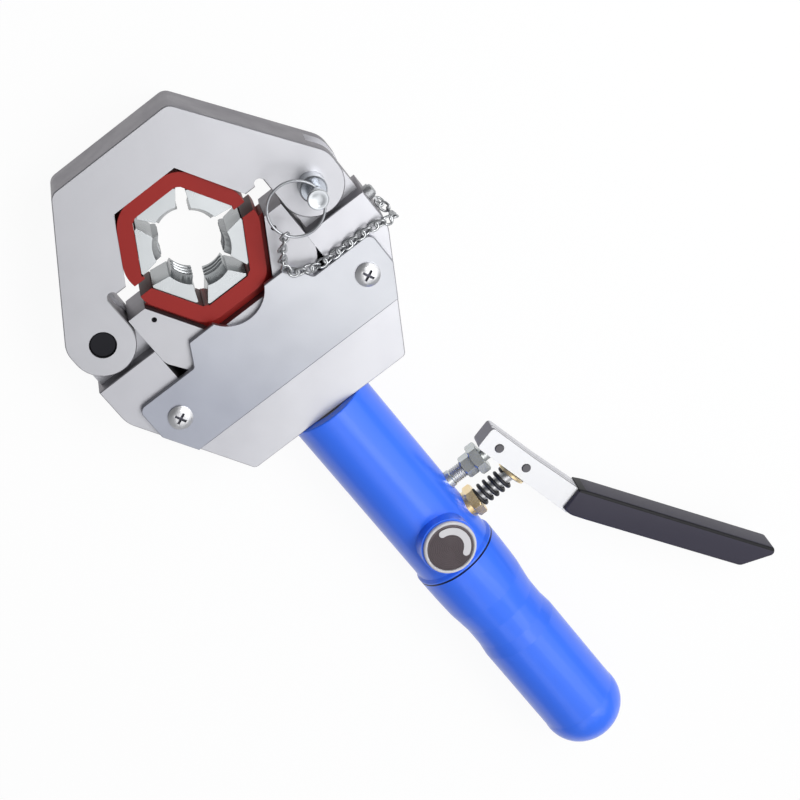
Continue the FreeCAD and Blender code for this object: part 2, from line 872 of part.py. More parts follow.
def make_plunger_seal():
    start = barrel_r - spot_face - seal_len + 0.05
    return turned([
        (0, plunger_bore_r + pin_play), (0, seal_out_r - 0.05), (seal_len - 0.1, seal_out_r - 0.05),
        (seal_len - 0.1, plunger_bore_r + pin_play),
    ], vec(start, plunger_y, 0), AXIS_X)


def make_check_balls():
    delivery = Part.makeSphere(check_ball_r, vec(gallery_x, cylinder_end - delivery_depth + check_ball_r, 0))
    suction_top = barrel_bottom - handle_spigot_len + suction_depth
    suction = Part.makeSphere(check_ball_r, vec(gallery_x, suction_top - check_ball_r, 0))
    return {"delivery": delivery, "suction": suction}


def make_check_springs():
    delivery_low = cylinder_end - delivery_depth + 2 * check_ball_r
    delivery = coil(vec(gallery_x, delivery_low + 0.05, 0), AXIS_Y, 2.3, 0.35,
                    cylinder_end - check_plug_len - delivery_low, 3)
    suction_top = barrel_bottom - handle_spigot_len + suction_depth - 2 * check_ball_r
    suction_end = barrel_bottom - handle_spigot_len + check_plug_len
    suction = coil(vec(gallery_x, suction_end + 0.05, 0), AXIS_Y, 2.3, 0.35,
                   suction_top - suction_end - 0.1, 4)
    return {"delivery": delivery, "suction": suction}


def make_check_plug(y, axis):
    """Plug with a hexagonal way through, flush with the end of its bore."""
    plug = rod(vec(gallery_x, y, 0), axis, check_bore_r, check_plug_len)
    return plug.cut(hex_prism(vec(gallery_x, y, 0), axis, 2.6, check_plug_len))


def make_handle():
    join = barrel_bottom
    waist_top = handle_waist_y + handle_waist_half
    waist_low = handle_waist_y - handle_waist_half
    taper_top = waist_top + handle_taper_len
    flat_end = vec(handle_top_r - edge_break, join, 0)
    top_corner = vec(handle_top_r, join - edge_break, 0)
    taper_start = vec(handle_shoulder_r, taper_top, 0)
    top_middle = vec((handle_top_r + handle_shoulder_r) / 2 + 0.2, (join + taper_top) / 2, 0)
    waist_start = vec(handle_waist_r + 0.05, waist_top, 0)
    waist_end = vec(handle_waist_r + 0.05, waist_low, 0)
    body_start = vec(handle_body_r, waist_low - handle_swell_len, 0)
    shoulder_start = vec(handle_body_r, handle_end + handle_round, 0)
    rise = handle_round * 0.05
    shoulder_end = vec(handle_body_r - handle_round * 0.55, handle_end + rise, 0)
    crown_r = (shoulder_end.x ** 2 + rise ** 2) / (2 * rise)
    half_way = math.asin(shoulder_end.x / crown_r) / 2
    crown = vec(0, handle_end, 0)
    corner_middle = vec(handle_body_r - handle_round * 0.14, handle_end + handle_round * 0.37, 0)
    crown_middle = vec(crown_r * math.sin(half_way),
                       handle_end + crown_r * (1 - math.cos(half_way)), 0)
    edges = [
        Part.LineSegment(vec(0, join, 0), flat_end),
        Part.LineSegment(flat_end, top_corner),
        Part.Arc(top_corner, top_middle, taper_start),
        Part.LineSegment(taper_start, waist_start),
        Part.Arc(waist_start, vec(handle_waist_r, handle_waist_y, 0), waist_end),
        Part.LineSegment(waist_end, body_start),
        Part.LineSegment(body_start, shoulder_start),
        Part.Arc(shoulder_start, corner_middle, shoulder_end),
        Part.Arc(shoulder_end, crown_middle, crown),
        Part.LineSegment(crown, vec(0, join, 0)),
    ]
    wire = Part.Wire([edge.toShape() for edge in edges])
    handle = Part.Face(wire).revolve(vec(0, 0, 0), AXIS_Y, 360)
    bore = rod(vec(0, join, 0), vec(0, -1, 0), handle_spigot_r, handle_spigot_len + 1)
    cavity_r = handle_waist_r - handle_wall
    cavity = turned([
        (0, 0), (0, cavity_r), (handle_cavity_len() - 12, cavity_r),
        (handle_cavity_len() - 3, cavity_r - 5), (handle_cavity_len(), cavity_r - 12),
        (handle_cavity_len(), 0),
    ], vec(0, join, 0), vec(0, -1, 0))
    return handle.cut(bore).cut(cavity)


def handle_cavity_len():
    return barrel_bottom - handle_end - 2 * handle_wall


def make_bladder():
    outer = handle_waist_r - handle_wall - bladder_gap
    start = handle_spigot_len + 3
    end = handle_cavity_len() - 6
    inner = outer - bladder_wall
    return turned([
        (start, inner - 6), (start, outer), (end - 10, outer), (end - 2, outer - 5),
        (end, outer - 11), (end, 0), (end - bladder_wall, 0),
        (end - bladder_wall, inner - 11), (end - 2 - bladder_wall, inner - 5),
        (end - 10 - bladder_wall, inner), (start + bladder_wall, inner),
        (start + bladder_wall, inner - 6),
    ], vec(0, barrel_bottom, 0), vec(0, -1, 0))


# Release valve and its knob

def make_release_knob():
    low = valve_boss_top + knob_gap
    top = low + knob_thick
    inner = knob_r - knob_ring_wall
    knob = turned([
        (low, 0), (low, knob_r), (top - 0.5, knob_r), (top, knob_r - 0.5), (top, inner),
        (top - knob_recess, inner), (top - knob_recess, 0),
    ], vec(0, valve_y, 0), AXIS_Z)
    return valve_turned(knob)


def make_knob_disc():
    top = valve_boss_top + knob_gap + knob_thick - knob_recess
    disc = turned([(top, 0), (top, knob_r - knob_ring_wall - 0.1),
                   (top + 0.35, knob_r - knob_ring_wall - 0.3), (top + 0.35, 0)],
                  vec(0, valve_y, 0), AXIS_Z)
    return valve_turned(disc)


def make_label_pad():
    """Bare crescent pad on the knob, from its top round to its lower right."""
    top = valve_boss_top + knob_gap + knob_thick - knob_recess + 0.35
    outer = knob_r - knob_ring_wall - 1.2
    inner = outer - 4.6
    pad = turned([(top, inner), (top, outer), (top + 0.2, outer), (top + 0.2, inner)],
                 vec(0, 0, 0), AXIS_Z)
    keep = turned([(top - 1, 0), (top - 1, 40), (top + 1, 40), (top + 1, 0)], vec(0, 0, 0), AXIS_Z)
    wedge = sector(top - 1, top + 1, 40, -72, 96)
    pad = pad.common(wedge).common(keep)
    pad.translate(vec(0, valve_y, 0))
    return valve_turned(pad)


def sector(z_low, z_high, reach, start_deg, end_deg):
    """Flat wedge about +Z between two angles."""
    corners = [(0, 0)]
    steps = 4
    for i in range(steps + 1):
        angle = math.radians(start_deg + (end_deg - start_deg) * i / steps)
        corners.append((reach * math.cos(angle), reach * math.sin(angle)))
    return plate(corners, z_low, z_high)


def make_valve_stem():
    stem_top = valve_boss_top + knob_gap
    stem = turned([
        (valve_stem_tip, 0), (valve_stem_tip, valve_tip_r), (valve_stem_tip + valve_tip_len, valve_stem_r),
        (stem_top, valve_stem_r), (stem_top, 0),
    ], vec(0, valve_y, 0), AXIS_Z)
    return valve_turned(stem)


# Pump lever, its stud, the plunger and its spring

def make_fulcrum_stud():
    collar = turned([
        (0, 0), (0, stud_collar_r), (stud_collar_len - 0.6, stud_collar_r),
        (stud_collar_len, stud_collar_r - 0.6), (stud_collar_len, 0),
    ], vec(barrel_r - spot_face, stud_y, 0), AXIS_X)
    shank = rod(vec(barrel_r - stud_hold, stud_y, 0), AXIS_X, stud_r,
                fulcrum_x - barrel_r + stud_hold - 1)
    eye_half = channel_z / 2 - channel_wall - 0.15
    eye = rod(vec(fulcrum_x, stud_y, -eye_half), AXIS_Z, stud_eye_r, 2 * eye_half)
    hole = rod(vec(fulcrum_x, stud_y, -eye_half), AXIS_Z, lever_pin_r, 2 * eye_half)
    return collar.fuse(shank).fuse(eye).cut(hole).removeSplitter()


def make_stud_nuts():
    lock_start = barrel_r + lock_nut_gap
    big_start = lock_start + lock_nut_len
    lock_nut = hex_prism(vec(lock_start, stud_y, 0), AXIS_X, lock_nut_af, lock_nut_len)
    big_nut = hex_prism(vec(big_start, stud_y, 0), AXIS_X, big_nut_af, big_nut_len)
    nuts = []
    for nut, across, length, start in ((lock_nut, lock_nut_af, lock_nut_len, lock_start),
                                       (big_nut, big_nut_af, big_nut_len, big_start)):
        crown = turned([
            (0, 0), (0, across * 0.52), (length * 0.14, across * 0.58),
            (length * 0.86, across * 0.58), (length, across * 0.52), (length, 0),
        ], vec(start, stud_y, 0), AXIS_X)
        nut = nut.common(crown)
        nuts.append(nut.cut(rod(vec(start, stud_y, 0), AXIS_X, stud_r, length)))
    return nuts


def make_gland_nut():
    start = barrel_r - spot_face
    nut = hex_prism(vec(gland_x, plunger_y, 0), AXIS_X, gland_af, gland_len)
    crown = turned([
        (0, 0), (0, gland_af * 0.53), (0.8, gland_af * 0.58), (gland_len - 0.8, gland_af * 0.58),
        (gland_len, gland_af * 0.53), (gland_len, 0),
    ], vec(gland_x, plunger_y, 0), AXIS_X)
    thread = rod(vec(start, plunger_y, 0), AXIS_X, gland_thread_r, gland_x - start)
    bore = rod(vec(start, plunger_y, 0), AXIS_X, plunger_bore_r + pin_play,
               gland_x + gland_len - start)
    return nut.common(crown).fuse(thread).cut(bore)


def make_plunger():
    eye_x = plunger_pin_x
    main = turned([
        (plunger_tip_x, 0), (plunger_tip_x, plunger_bore_r - 0.6),
        (plunger_tip_x + 0.6, plunger_bore_r), (plunger_step_x, plunger_bore_r),
        (plunger_step_x, plunger_rod_r), (eye_x - 2, plunger_rod_r), (eye_x - 2, 0),
    ], vec(0, plunger_y, 0), AXIS_X)
    eye = rod(vec(eye_x, plunger_y, -plunger_eye_half), AXIS_Z, lever_pin_r + 1.9,
              2 * plunger_eye_half)
    slot = plate([
        (eye_x - lever_pin_r - 0.15, plunger_y - lever_pin_r - 0.8, lever_pin_r),
        (eye_x + lever_pin_r + 0.15, plunger_y - lever_pin_r - 0.8, lever_pin_r),
        (eye_x + lever_pin_r + 0.15, plunger_y + lever_pin_r + 0.5, lever_pin_r),
        (eye_x - lever_pin_r - 0.15, plunger_y + lever_pin_r + 0.5, lever_pin_r),
    ], -plunger_eye_half, plunger_eye_half)
    return main.fuse(eye).cut(slot)


def washer_centre():
    """Middle of the tilted seat washer, on the plunger's axis by the lever's edge."""
    along = (plunger_y - stud_y) / -math.cos(lean)
    edge = fulcrum_x + along * math.sin(lean) - lever_wide / 2 / math.cos(lean)
    return edge - (washer_thick / 2 + 0.3) / math.cos(lean)


def make_seat_washer():
    washer = turned([
        (-washer_thick / 2, 0), (-washer_thick / 2, washer_r - 0.4),
        (-washer_thick / 2 + 0.4, washer_r), (washer_thick / 2 - 0.4, washer_r),
        (washer_thick / 2, washer_r - 0.4), (washer_thick / 2, 0),
    ], vec(0, 0, 0), AXIS_X)
    washer = washer.cut(rod(vec(-5, 0, 0), AXIS_X, plunger_rod_r + 0.75, 10))
    washer.rotate(vec(0, 0, 0), AXIS_Z, lever_lean_deg)
    washer.translate(vec(washer_centre(), plunger_y, 0))
    return washer


def make_plunger_spring():
    start = gland_x + gland_len + 0.1
    end = washer_centre() - washer_thick / 2 - plunger_spring_r * math.tan(lean) - 0.9
    return coil(vec(start, plunger_y, 0), AXIS_X, plunger_spring_r - plunger_spring_wire,
                plunger_spring_wire, end - start, plunger_spring_turns)


def lever_frame(shape):
    """Move a lever piece drawn along -Y from the fulcrum to its rest lean."""
    shape.rotate(vec(0, 0, 0), AXIS_Z, lever_lean_deg)
    shape.translate(vec(fulcrum_x, stud_y, 0))
    return shape


def make_lever_channel():
    w = lever_wide / 2
    z = channel_z / 2
    outer = plate([
        (-w, channel_top, 2.0), (w, channel_top + 0.6, 2.0), (w, -channel_flare_start),
        (w + channel_flare, -channel_end), (-w, -channel_end),
    ], -z, z)
    inner = box(-w - 1, w - channel_wall, -channel_end - 1, channel_top - channel_wall,
                -z + channel_wall, z - channel_wall)
    channel = outer.cut(inner)
    for along, play in ((0.0, pin_play), (plunger_arm, 0.0)):
        hole = rod(vec(0, -along, -z), AXIS_Z, lever_pin_r + play, 2 * z)
        channel = channel.cut(hole)
    return lever_frame(channel)


def make_lever_pin(place, proud):
    z = channel_z / 2 + proud
    return turned([
        (-z, 0), (-z, lever_pin_r - 0.4), (-z + 0.4, lever_pin_r), (z - 0.4, lever_pin_r),
        (z, lever_pin_r - 0.4), (z, 0),
    ], place, AXIS_Z)


def make_lever_grip():
    z = grip_z / 2
    corners = [
        (grip_throat_x, grip_throat_y, 0.0), (grip_heel_x, grip_heel_y, grip_bend_r),
        (grip_bend_x, grip_bend_y, grip_bend_r), (grip_toe_x, grip_toe_y, grip_toe_r),
        (grip_tip_x, grip_tip_y, grip_tip_r), (grip_end_x, grip_end_y, grip_tip_r),
        (grip_back_x, grip_back_y, grip_bend_r), (grip_collar_x, grip_collar_y, 0.0),
    ]
    outline = [(fulcrum_x + out, stud_y - down, radius) for out, down, radius in corners]
    grip = plate(outline, -z, z)
    edges = [edge for edge in grip.Edges if lies_in(edge, z) or lies_in(edge, -z)]
    return grip.makeFillet(grip_edge_r, edges).cut(lever_tang(0.0))


def lever_tang(grow):
    """Space that the channel's lower end takes inside the grip."""
    w = lever_wide / 2 + channel_flare + grow
    z = channel_z / 2 + grow
    return lever_frame(box(-w, w, -channel_end - 0.05, -30, -z, z))


# Tether: anchor on the frame's side, links and the pull ring

def anchor_eye():
    """Middle of the eyelet's hole, where the last link hangs."""
    return vec(frame_half + flange_thick - tab_thick / 2, anchor_y - anchor_drop, anchor_z)


def make_chain_anchor():
    """Screw in the frame's side face, with the chain's eyelet under its head."""
    shank = rod(vec(frame_half - anchor_screw_len + 0.5, anchor_y, anchor_z), AXIS_X,
                anchor_screw_r, anchor_screw_len)
    head = turned([
        (0, 0), (0, anchor_head_r), (0.9, anchor_head_r), (1.6, anchor_head_r - 1.2), (1.6, 0),
    ], vec(frame_half + flange_thick, anchor_y, anchor_z), AXIS_X)
    flange = rod(vec(frame_half, anchor_y, anchor_z), AXIS_X, anchor_head_r + 0.8, flange_thick)
    low = anchor_eye() - vec(tab_thick / 2, 0, 0)
    tip = rod(low, AXIS_X, eyelet_r, tab_thick)
    web = box(low.x, low.x + tab_thick, low.y, anchor_y, anchor_z - eyelet_r, anchor_z + eyelet_r)
    eyelet = flange.fuse(tip).fuse(web).cut(rod(low, AXIS_X, eyelet_hole_r, tab_thick))
    return shank.fuse(eyelet).fuse(head).removeSplitter()


def chain_route():
    """Way of the chain from the pull ring over the front plate to the anchor."""
    lift = link_wide / 2 + link_gap
    on_frame = half + lift
    on_plate = face_z + lift
    return [
        vec(42.3, -23.3, ring_z + 0.5), vec(38.0, -26.6, 28.2), vec(33.9, -31.9, 24.5),
        vec(30.9, -37.4, 21.0), vec(30.1, -42.0, on_plate), vec(32.5, -45.7, on_plate),
        vec(36.5, -47.5, on_plate), vec(41.0, -50.0, on_frame + 1.2), vec(46.0, -51.3, on_frame),
        vec(58.6, -51.7, on_frame), vec(70.0, -51.9, on_frame), vec(79.0, -52.8, on_frame),
        vec(85.2, -55.2, half + 1.2), vec(87.6, -56.4, 11.0), vec(87.4, -54.6, 6.6),
        anchor_eye() + vec(0.5, -4.2, 0.6), anchor_eye(),
    ]


def make_chain():
    curve = Part.BSplineCurve()
    curve.interpolate(chain_route())
    length = curve.length()
    count = int(length / link_pitch)
    links = []
    for i in range(count):
        at = curve.parameterAtDistance((i + 0.5) * length / count)
        place = curve.value(at)
        along = curve.tangent(at)[0]
        roll = 45 + 90 * (i % 2)
        if i == 0:
            roll = roll_to(AXIS_Z.cross(chain_route()[0] - ring_centre()), along)
        if i == count - 1:
            roll = roll_to(AXIS_X.cross(along), along)
        links.append(make_link(place, along, roll))
    return group(links)


def roll_to(normal, along):
    """Roll angle that turns the flat of a link to face the given way."""
    back = FreeCAD.Rotation(AXIS_X, along).inverted().multVec(normal)
    return math.degrees(math.atan2(-back.y, back.z))


def make_link(place, along, roll):
    """Flat link, turned about its own length by the roll angle."""
    link = link_ring(link_len / 2, link_wide / 2, link_wire / 2)
    hole = link_ring(link_len / 2 - link_wire, link_wide / 2 - link_wire, link_wire)
    link = link.cut(hole)
    link.rotate(vec(0, 0, 0), AXIS_X, roll)
    turn = FreeCAD.Rotation(AXIS_X, along)
    link.rotate(vec(0, 0, 0), turn.Axis, math.degrees(turn.Angle))
    link.translate(place)
    return link


def link_ring(long, wide, thick):
    """Eight-cornered outline of a link or of its opening."""
    cut = 0.6 * wide
    return plate([
        (-long, -wide + cut), (-long + cut, -wide), (long - cut, -wide), (long, -wide + cut),
        (long, wide - cut), (long - cut, wide), (-long + cut, wide), (-long, wide - cut),
    ], -thick, thick)


def ring_centre():
    return vec(pivot_x + ring_offset - ring_r, pivot_y, ring_z)


def make_pull_ring():
    """Ring that passes through the pin, round the far side of the button's stem."""
    return wire_ring(ring_centre(), AXIS_Z, ring_r, ring_wire_r)


# Write every node

def main():
    save("yoke", make_yoke())
    save("lower_frame", make_lower_frame())
    save("pusher_block", make_pusher())
    for name, place in grub_places().items():
        save("pusher_grub_screw_" + name, make_grub_screw(place))
    save("front_cover_plate", make_cover_plate(1))
    save("rear_cover_plate", make_cover_plate(-1))
    for face, face_name in ((1, "front"), (-1, "rear")):
        for side, side_name in ((-1, "left"), (1, "right")):
            save(face_name + "_cover_screw_" + side_name, make_cover_screw(side, face))
    save("hinge_pin", make_hinge_pin())
    save("lock_pin", make_lock_pin())
    save("detent_ball_inner", make_detent_ball(-1))
    save("detent_ball_outer", make_detent_ball(1))
    save("lock_button", make_lock_button())
    save("pull_ring", make_pull_ring())
    save("upper_die_carrier", make_upper_carrier())
    save("lower_die_carrier", make_lower_carrier())
    save("die_segment_top", make_segment(0, 0))
    save("die_segment_upper_left", make_segment(60, 0))
    save("die_segment_upper_right", make_segment(-60, 0))
    save("die_segment_bottom", make_segment(180, lower_centre()))
    save("die_segment_lower_left", make_segment(120, lower_centre()))
    save("die_segment_lower_right", make_segment(-120, lower_centre()))
    save("piston_rod", make_piston_rod())
    save("piston", make_piston())
    save("piston_seal", make_piston_seal())
    save("ram_return_spring", make_ram_spring())
    save("cylinder_barrel", make_barrel())
    save("reservoir_handle", make_handle())
    save("reservoir_bladder", make_bladder())
    save("handle_seal", make_handle_seal())
    save("plunger_seal", make_plunger_seal())
    for name, ball in make_check_balls().items():
        save(name + "_check_ball", ball)
    for name, spring in make_check_springs().items():
        save(name + "_check_spring", spring)
    save("delivery_check_plug", make_check_plug(cylinder_end, vec(0, -1, 0)))
    save("suction_check_plug", make_check_plug(barrel_bottom - handle_spigot_len, AXIS_Y))
    save("release_knob", make_release_knob())
    save("knob_disc", make_knob_disc())
    save("knob_label_pad", make_label_pad())
    save("release_valve_stem", make_valve_stem())
    save("fulcrum_stud", make_fulcrum_stud())
    lock_nut, big_nut = make_stud_nuts()
    save("stud_lock_nut", lock_nut)
    save("stud_adjusting_nut", big_nut)
    save("gland_nut", make_gland_nut())
    save("pump_plunger", make_plunger())
    save("spring_seat_washer", make_seat_washer())
    save("plunger_spring", make_plunger_spring())
    save("lever_channel", make_lever_channel())
    save("lever_grip", make_lever_grip())
    save("fulcrum_pin", make_lever_pin(vec(fulcrum_x, stud_y, 0), 0.5))
    save("plunger_pin", make_lever_pin(vec(plunger_pin_x, plunger_y, 0), 0.5))
    save("chain_anchor", make_chain_anchor())
    save("tether_chain", make_chain())


main()
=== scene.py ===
# %% [markdown]
# # A hydraulic hose crimper
# This lesson dresses a hand crimper for small hoses. The rigid model is loaded first and keeps its
# sizes. The cells then set the camera and the light, mix one material for each finish, and model the
# pieces that need rounder or finer shapes than the rigid model has.

# %% Load the rigid model
import json
import math

import bmesh
import bpy
from mathutils import Matrix, Vector


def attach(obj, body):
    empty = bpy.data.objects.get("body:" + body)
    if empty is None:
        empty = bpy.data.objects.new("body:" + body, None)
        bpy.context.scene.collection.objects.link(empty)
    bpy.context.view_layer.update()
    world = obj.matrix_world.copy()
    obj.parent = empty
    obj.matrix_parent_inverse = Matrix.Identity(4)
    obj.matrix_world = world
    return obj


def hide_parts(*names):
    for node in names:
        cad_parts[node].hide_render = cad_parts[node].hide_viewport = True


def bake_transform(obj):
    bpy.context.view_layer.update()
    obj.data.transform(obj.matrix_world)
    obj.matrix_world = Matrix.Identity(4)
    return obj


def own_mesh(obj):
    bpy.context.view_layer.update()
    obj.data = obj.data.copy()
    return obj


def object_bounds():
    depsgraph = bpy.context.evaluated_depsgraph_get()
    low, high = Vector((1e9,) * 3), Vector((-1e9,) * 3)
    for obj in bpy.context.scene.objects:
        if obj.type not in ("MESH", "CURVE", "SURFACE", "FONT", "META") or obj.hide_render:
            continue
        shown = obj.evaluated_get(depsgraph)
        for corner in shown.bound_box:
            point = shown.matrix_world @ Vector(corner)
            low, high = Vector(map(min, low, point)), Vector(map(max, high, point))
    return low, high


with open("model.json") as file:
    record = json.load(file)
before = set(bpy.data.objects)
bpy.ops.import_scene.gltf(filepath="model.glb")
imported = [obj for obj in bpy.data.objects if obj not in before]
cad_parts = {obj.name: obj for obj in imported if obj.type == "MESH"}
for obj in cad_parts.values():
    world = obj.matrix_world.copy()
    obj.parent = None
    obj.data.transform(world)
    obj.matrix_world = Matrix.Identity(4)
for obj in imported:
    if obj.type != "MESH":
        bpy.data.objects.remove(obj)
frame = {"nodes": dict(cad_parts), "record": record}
model_box = [list(corner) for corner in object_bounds()]
MM = 0.001
print("model box:", model_box)

# %% [markdown]
# ## Camera
# The photo looks down on the head from in front and above, with a fairly long lens. A camera could be
# aimed at a point, but here its place and turn were fitted to the outline of the head and the edges of
# the grip, so its axes are written as directions: right, up and back.

# %% Camera
lens_length = 96.0
camera_place = (0.1428, 0.3004, 1.016)
right = Vector((0.7944, -0.5838, 0.1669)).normalized()
up = Vector((0.5987, 0.7074, -0.3757))
up = (up - right * up.dot(right)).normalized()
back = right.cross(up)

camera_data = bpy.data.cameras.new("camera")
camera_data.lens = lens_length
camera_data.sensor_width = 36.0
camera_data.clip_end = 20.0
camera = bpy.data.objects.new("camera", camera_data)
turn = Matrix((right, up, back)).transposed().to_4x4()
camera.matrix_world = Matrix.Translation(camera_place) @ turn
bpy.context.scene.collection.objects.link(camera)
bpy.context.scene.camera = camera
print("camera looks along", -back)

# %% [markdown]
# ## Floor
# The tool lies on a white table. A box with a top and sides could be built, but only the surface under
# the tool shows, so one large square is enough. It lies a little below the lowest point of the model.

# %% Floor
def new_object(name, mesh):
    """Link a mesh to the scene as an object at the origin."""
    item = bpy.data.objects.new(name, mesh)
    bpy.context.scene.collection.objects.link(item)
    return item


floor_gap = 0.0002
floor_level = model_box[0][2] - floor_gap
work = bmesh.new()
bmesh.ops.create_grid(work, x_segments=1, y_segments=1, size=4.0)
bmesh.ops.translate(work, vec=(0, -0.15, floor_level), verts=work.verts)
floor_mesh = bpy.data.meshes.new("floor")
work.to_mesh(floor_mesh)
work.free()
floor = new_object("floor", floor_mesh)
print("floor at", round(floor_level / MM, 1), "mm")

# %% [markdown]
# ### Finish of the floor
# The photo's background is almost pure white. White paint alone would turn grey in this light, so the
# floor also glows, but only for the camera and in reflections. The small share of paint that is left
# there keeps a light shadow.

# %% Finish of the floor
glow_share = 0.94
floor_paint = bpy.data.materials.new("floor_white")
floor_paint.use_nodes = True
tree = floor_paint.node_tree
paint = tree.nodes["Principled BSDF"]
paint.inputs["Base Color"].default_value = (0.86, 0.86, 0.87, 1)
paint.inputs["Roughness"].default_value = 0.7
glow = tree.nodes.new("ShaderNodeEmission")
glow.inputs["Color"].default_value = (1, 1, 1, 1)
glow.inputs["Strength"].default_value = 1.0
path = tree.nodes.new("ShaderNodeLightPath")
seen = tree.nodes.new("ShaderNodeMath")
seen.operation = "MAXIMUM"
tree.links.new(path.outputs["Is Camera Ray"], seen.inputs[0])
tree.links.new(path.outputs["Is Glossy Ray"], seen.inputs[1])
share = tree.nodes.new("ShaderNodeMath")
share.operation = "MULTIPLY"
share.inputs[1].default_value = glow_share
tree.links.new(seen.outputs[0], share.inputs[0])
blend_floor = tree.nodes.new("ShaderNodeMixShader")
tree.links.new(share.outputs[0], blend_floor.inputs[0])
tree.links.new(paint.outputs[0], blend_floor.inputs[1])
tree.links.new(glow.outputs[0], blend_floor.inputs[2])
tree.links.new(blend_floor.outputs[0], tree.nodes["Material Output"].inputs["Surface"])
floor.data.materials.append(floor_paint)
print("floor glows by", glow_share)

# %% [markdown]
# ## Lamps
# Bright metal shows what it reflects, so each lamp is a soft panel and none is a point. One wide panel
# hangs above, and a second one stands on the lever's side with a strip beside it. A small panel faces the
# hand grip, and a long strip on the other side draws the line of light on the blue tube.

# %% Lamps
def soft_lamp(name, place, aim, size, watts):
    """A rectangular panel that faces a point."""
    data = bpy.data.lights.new(name, "AREA")
    data.shape = "RECTANGLE"
    data.size = size[0]
    data.size_y = size[1]
    data.energy = watts
    lamp = bpy.data.objects.new(name, data)
    lamp.location = place
    lamp.rotation_euler = (Vector(aim) - Vector(place)).to_track_quat("-Z", "Y").to_euler()
    bpy.context.scene.collection.objects.link(lamp)
    return lamp


lamps = [
    soft_lamp("overhead_panel", (-0.13, -0.6, 1.2), (0.0, -0.08, 0.0), (1.2, 1.2), 2.1),
    soft_lamp("lever_side_panel", (0.95, -0.5, 1.05), (0.0, -0.15, 0.0), (1.2, 1.4), 5.0),
    soft_lamp("strip_lamp", (0.42, -0.80, 1.14), (0.0, -0.25, 0.0), (0.40, 1.4), 2.6),
    soft_lamp("handle_panel", (0.50, -0.02, 0.80), (0.0, -0.27, 0.0), (0.5, 0.5), 4.6),
    soft_lamp("tube_strip", (-0.40, -0.80, 1.15), (0.0, -0.25, 0.0), (0.3, 1.4), 0.85),
]
print("lamps:", [lamp.name for lamp in lamps])

# %% [markdown]
# ## Light from all around
# The world fills in the shadows. An even world would be simpler, but it makes bright pieces look flat.
# This one gets darker beyond the head, which gives them their dark edges.

# %% Light from all around
near_strength = 0.36
far_strength = 0.10
world = bpy.data.worlds.new("studio")
bpy.context.scene.world = world
world.use_nodes = True
background = world.node_tree.nodes["Background"]
background.inputs["Color"].default_value = (0.94, 0.96, 1.0, 1)
look = world.node_tree.nodes.new("ShaderNodeTexCoord")
split_look = world.node_tree.nodes.new("ShaderNodeSeparateXYZ")
fall = world.node_tree.nodes.new("ShaderNodeMapRange")
fall.inputs["From Min"].default_value = 0.0
fall.inputs["From Max"].default_value = 0.8
fall.inputs["To Min"].default_value = near_strength
fall.inputs["To Max"].default_value = far_strength
world.node_tree.links.new(look.outputs["Generated"], split_look.inputs[0])
world.node_tree.links.new(split_look.outputs[1], fall.inputs["Value"])
world.node_tree.links.new(fall.outputs["Result"], background.inputs["Strength"])
bpy.context.scene.view_settings.view_transform = "Standard"
print("world from", near_strength, "down to", far_strength)

# %% [markdown]
# ## Materials
# Each finish of the real tool becomes one material. It starts from a helper that sets the plain values
# on the shader. More helpers then add a few nodes each, because a finish is easier to read as a short
# chain of steps than as a long list of nodes and links.

# %% Start of a finish
def finish(name, colour, metallic=0.0, roughness=0.5, coat=0.0):
    """A material with its plain values on the shader's own sockets."""
    material = bpy.data.materials.new(name)
    material.use_nodes = True
    shader = material.node_tree.nodes["Principled BSDF"]
    shader.inputs["Base Color"].default_value = (*colour, 1)
    shader.inputs["Metallic"].default_value = metallic
    shader.inputs["Roughness"].default_value = roughness
    shader.inputs["Coat Weight"].default_value = coat
    shader.inputs["Coat Roughness"].default_value = 0.08
    return material


def feed(material, socket, value):
    """Link a value to a socket of the shader."""
    shader = material.node_tree.nodes["Principled BSDF"]
    material.node_tree.links.new(value, shader.inputs[socket])


print("finish and feed are ready")

# %% [markdown]
# ### Noise and bump
# Real surfaces are never even. Noise on Object coordinates varies the colour, the roughness and the
# bump. A picture could do it too, but the noise needs none, and it stays with the piece when it moves.

# %% Noise and bump
def pattern(material, scale, stretch=(1, 1, 1), detail=4.0):
    """Noise that follows the piece; stretch below 1 draws it out along that axis."""
    tree = material.node_tree
    place = tree.nodes.new("ShaderNodeTexCoord")
    mapping = tree.nodes.new("ShaderNodeMapping")
    mapping.inputs["Scale"].default_value = stretch
    noise = tree.nodes.new("ShaderNodeTexNoise")
    noise.inputs["Scale"].default_value = scale
    noise.inputs["Detail"].default_value = detail
    tree.links.new(place.outputs["Object"], mapping.inputs["Vector"])
    tree.links.new(mapping.outputs["Vector"], noise.inputs["Vector"])
    return noise.outputs["Fac"]


def between(material, value, low, high, start=0.3, end=0.7):
    """Spread a value from low to high while it goes from start to end."""
    spread = material.node_tree.nodes.new("ShaderNodeMapRange")
    spread.inputs["From Min"].default_value = start
    spread.inputs["From Max"].default_value = end
    spread.inputs["To Min"].default_value = low
    spread.inputs["To Max"].default_value = high
    material.node_tree.links.new(value, spread.inputs["Value"])
    return spread.outputs["Result"]


def raise_surface(material, value, strength, depth):
    """Bump of a given depth in metres."""
    bump = material.node_tree.nodes.new("ShaderNodeBump")
    bump.inputs["Strength"].default_value = strength
    bump.inputs["Distance"].default_value = depth
    material.node_tree.links.new(value, bump.inputs["Height"])
    feed(material, "Normal", bump.outputs["Normal"])


print("noise and bump are ready")

# %% [markdown]
# ### Mixing colours
# A finish is seldom one colour. A mix node could be written out at each place, but one helper that
# mixes plain colours and linked ones alike lets the finishes below read as layers of paint.

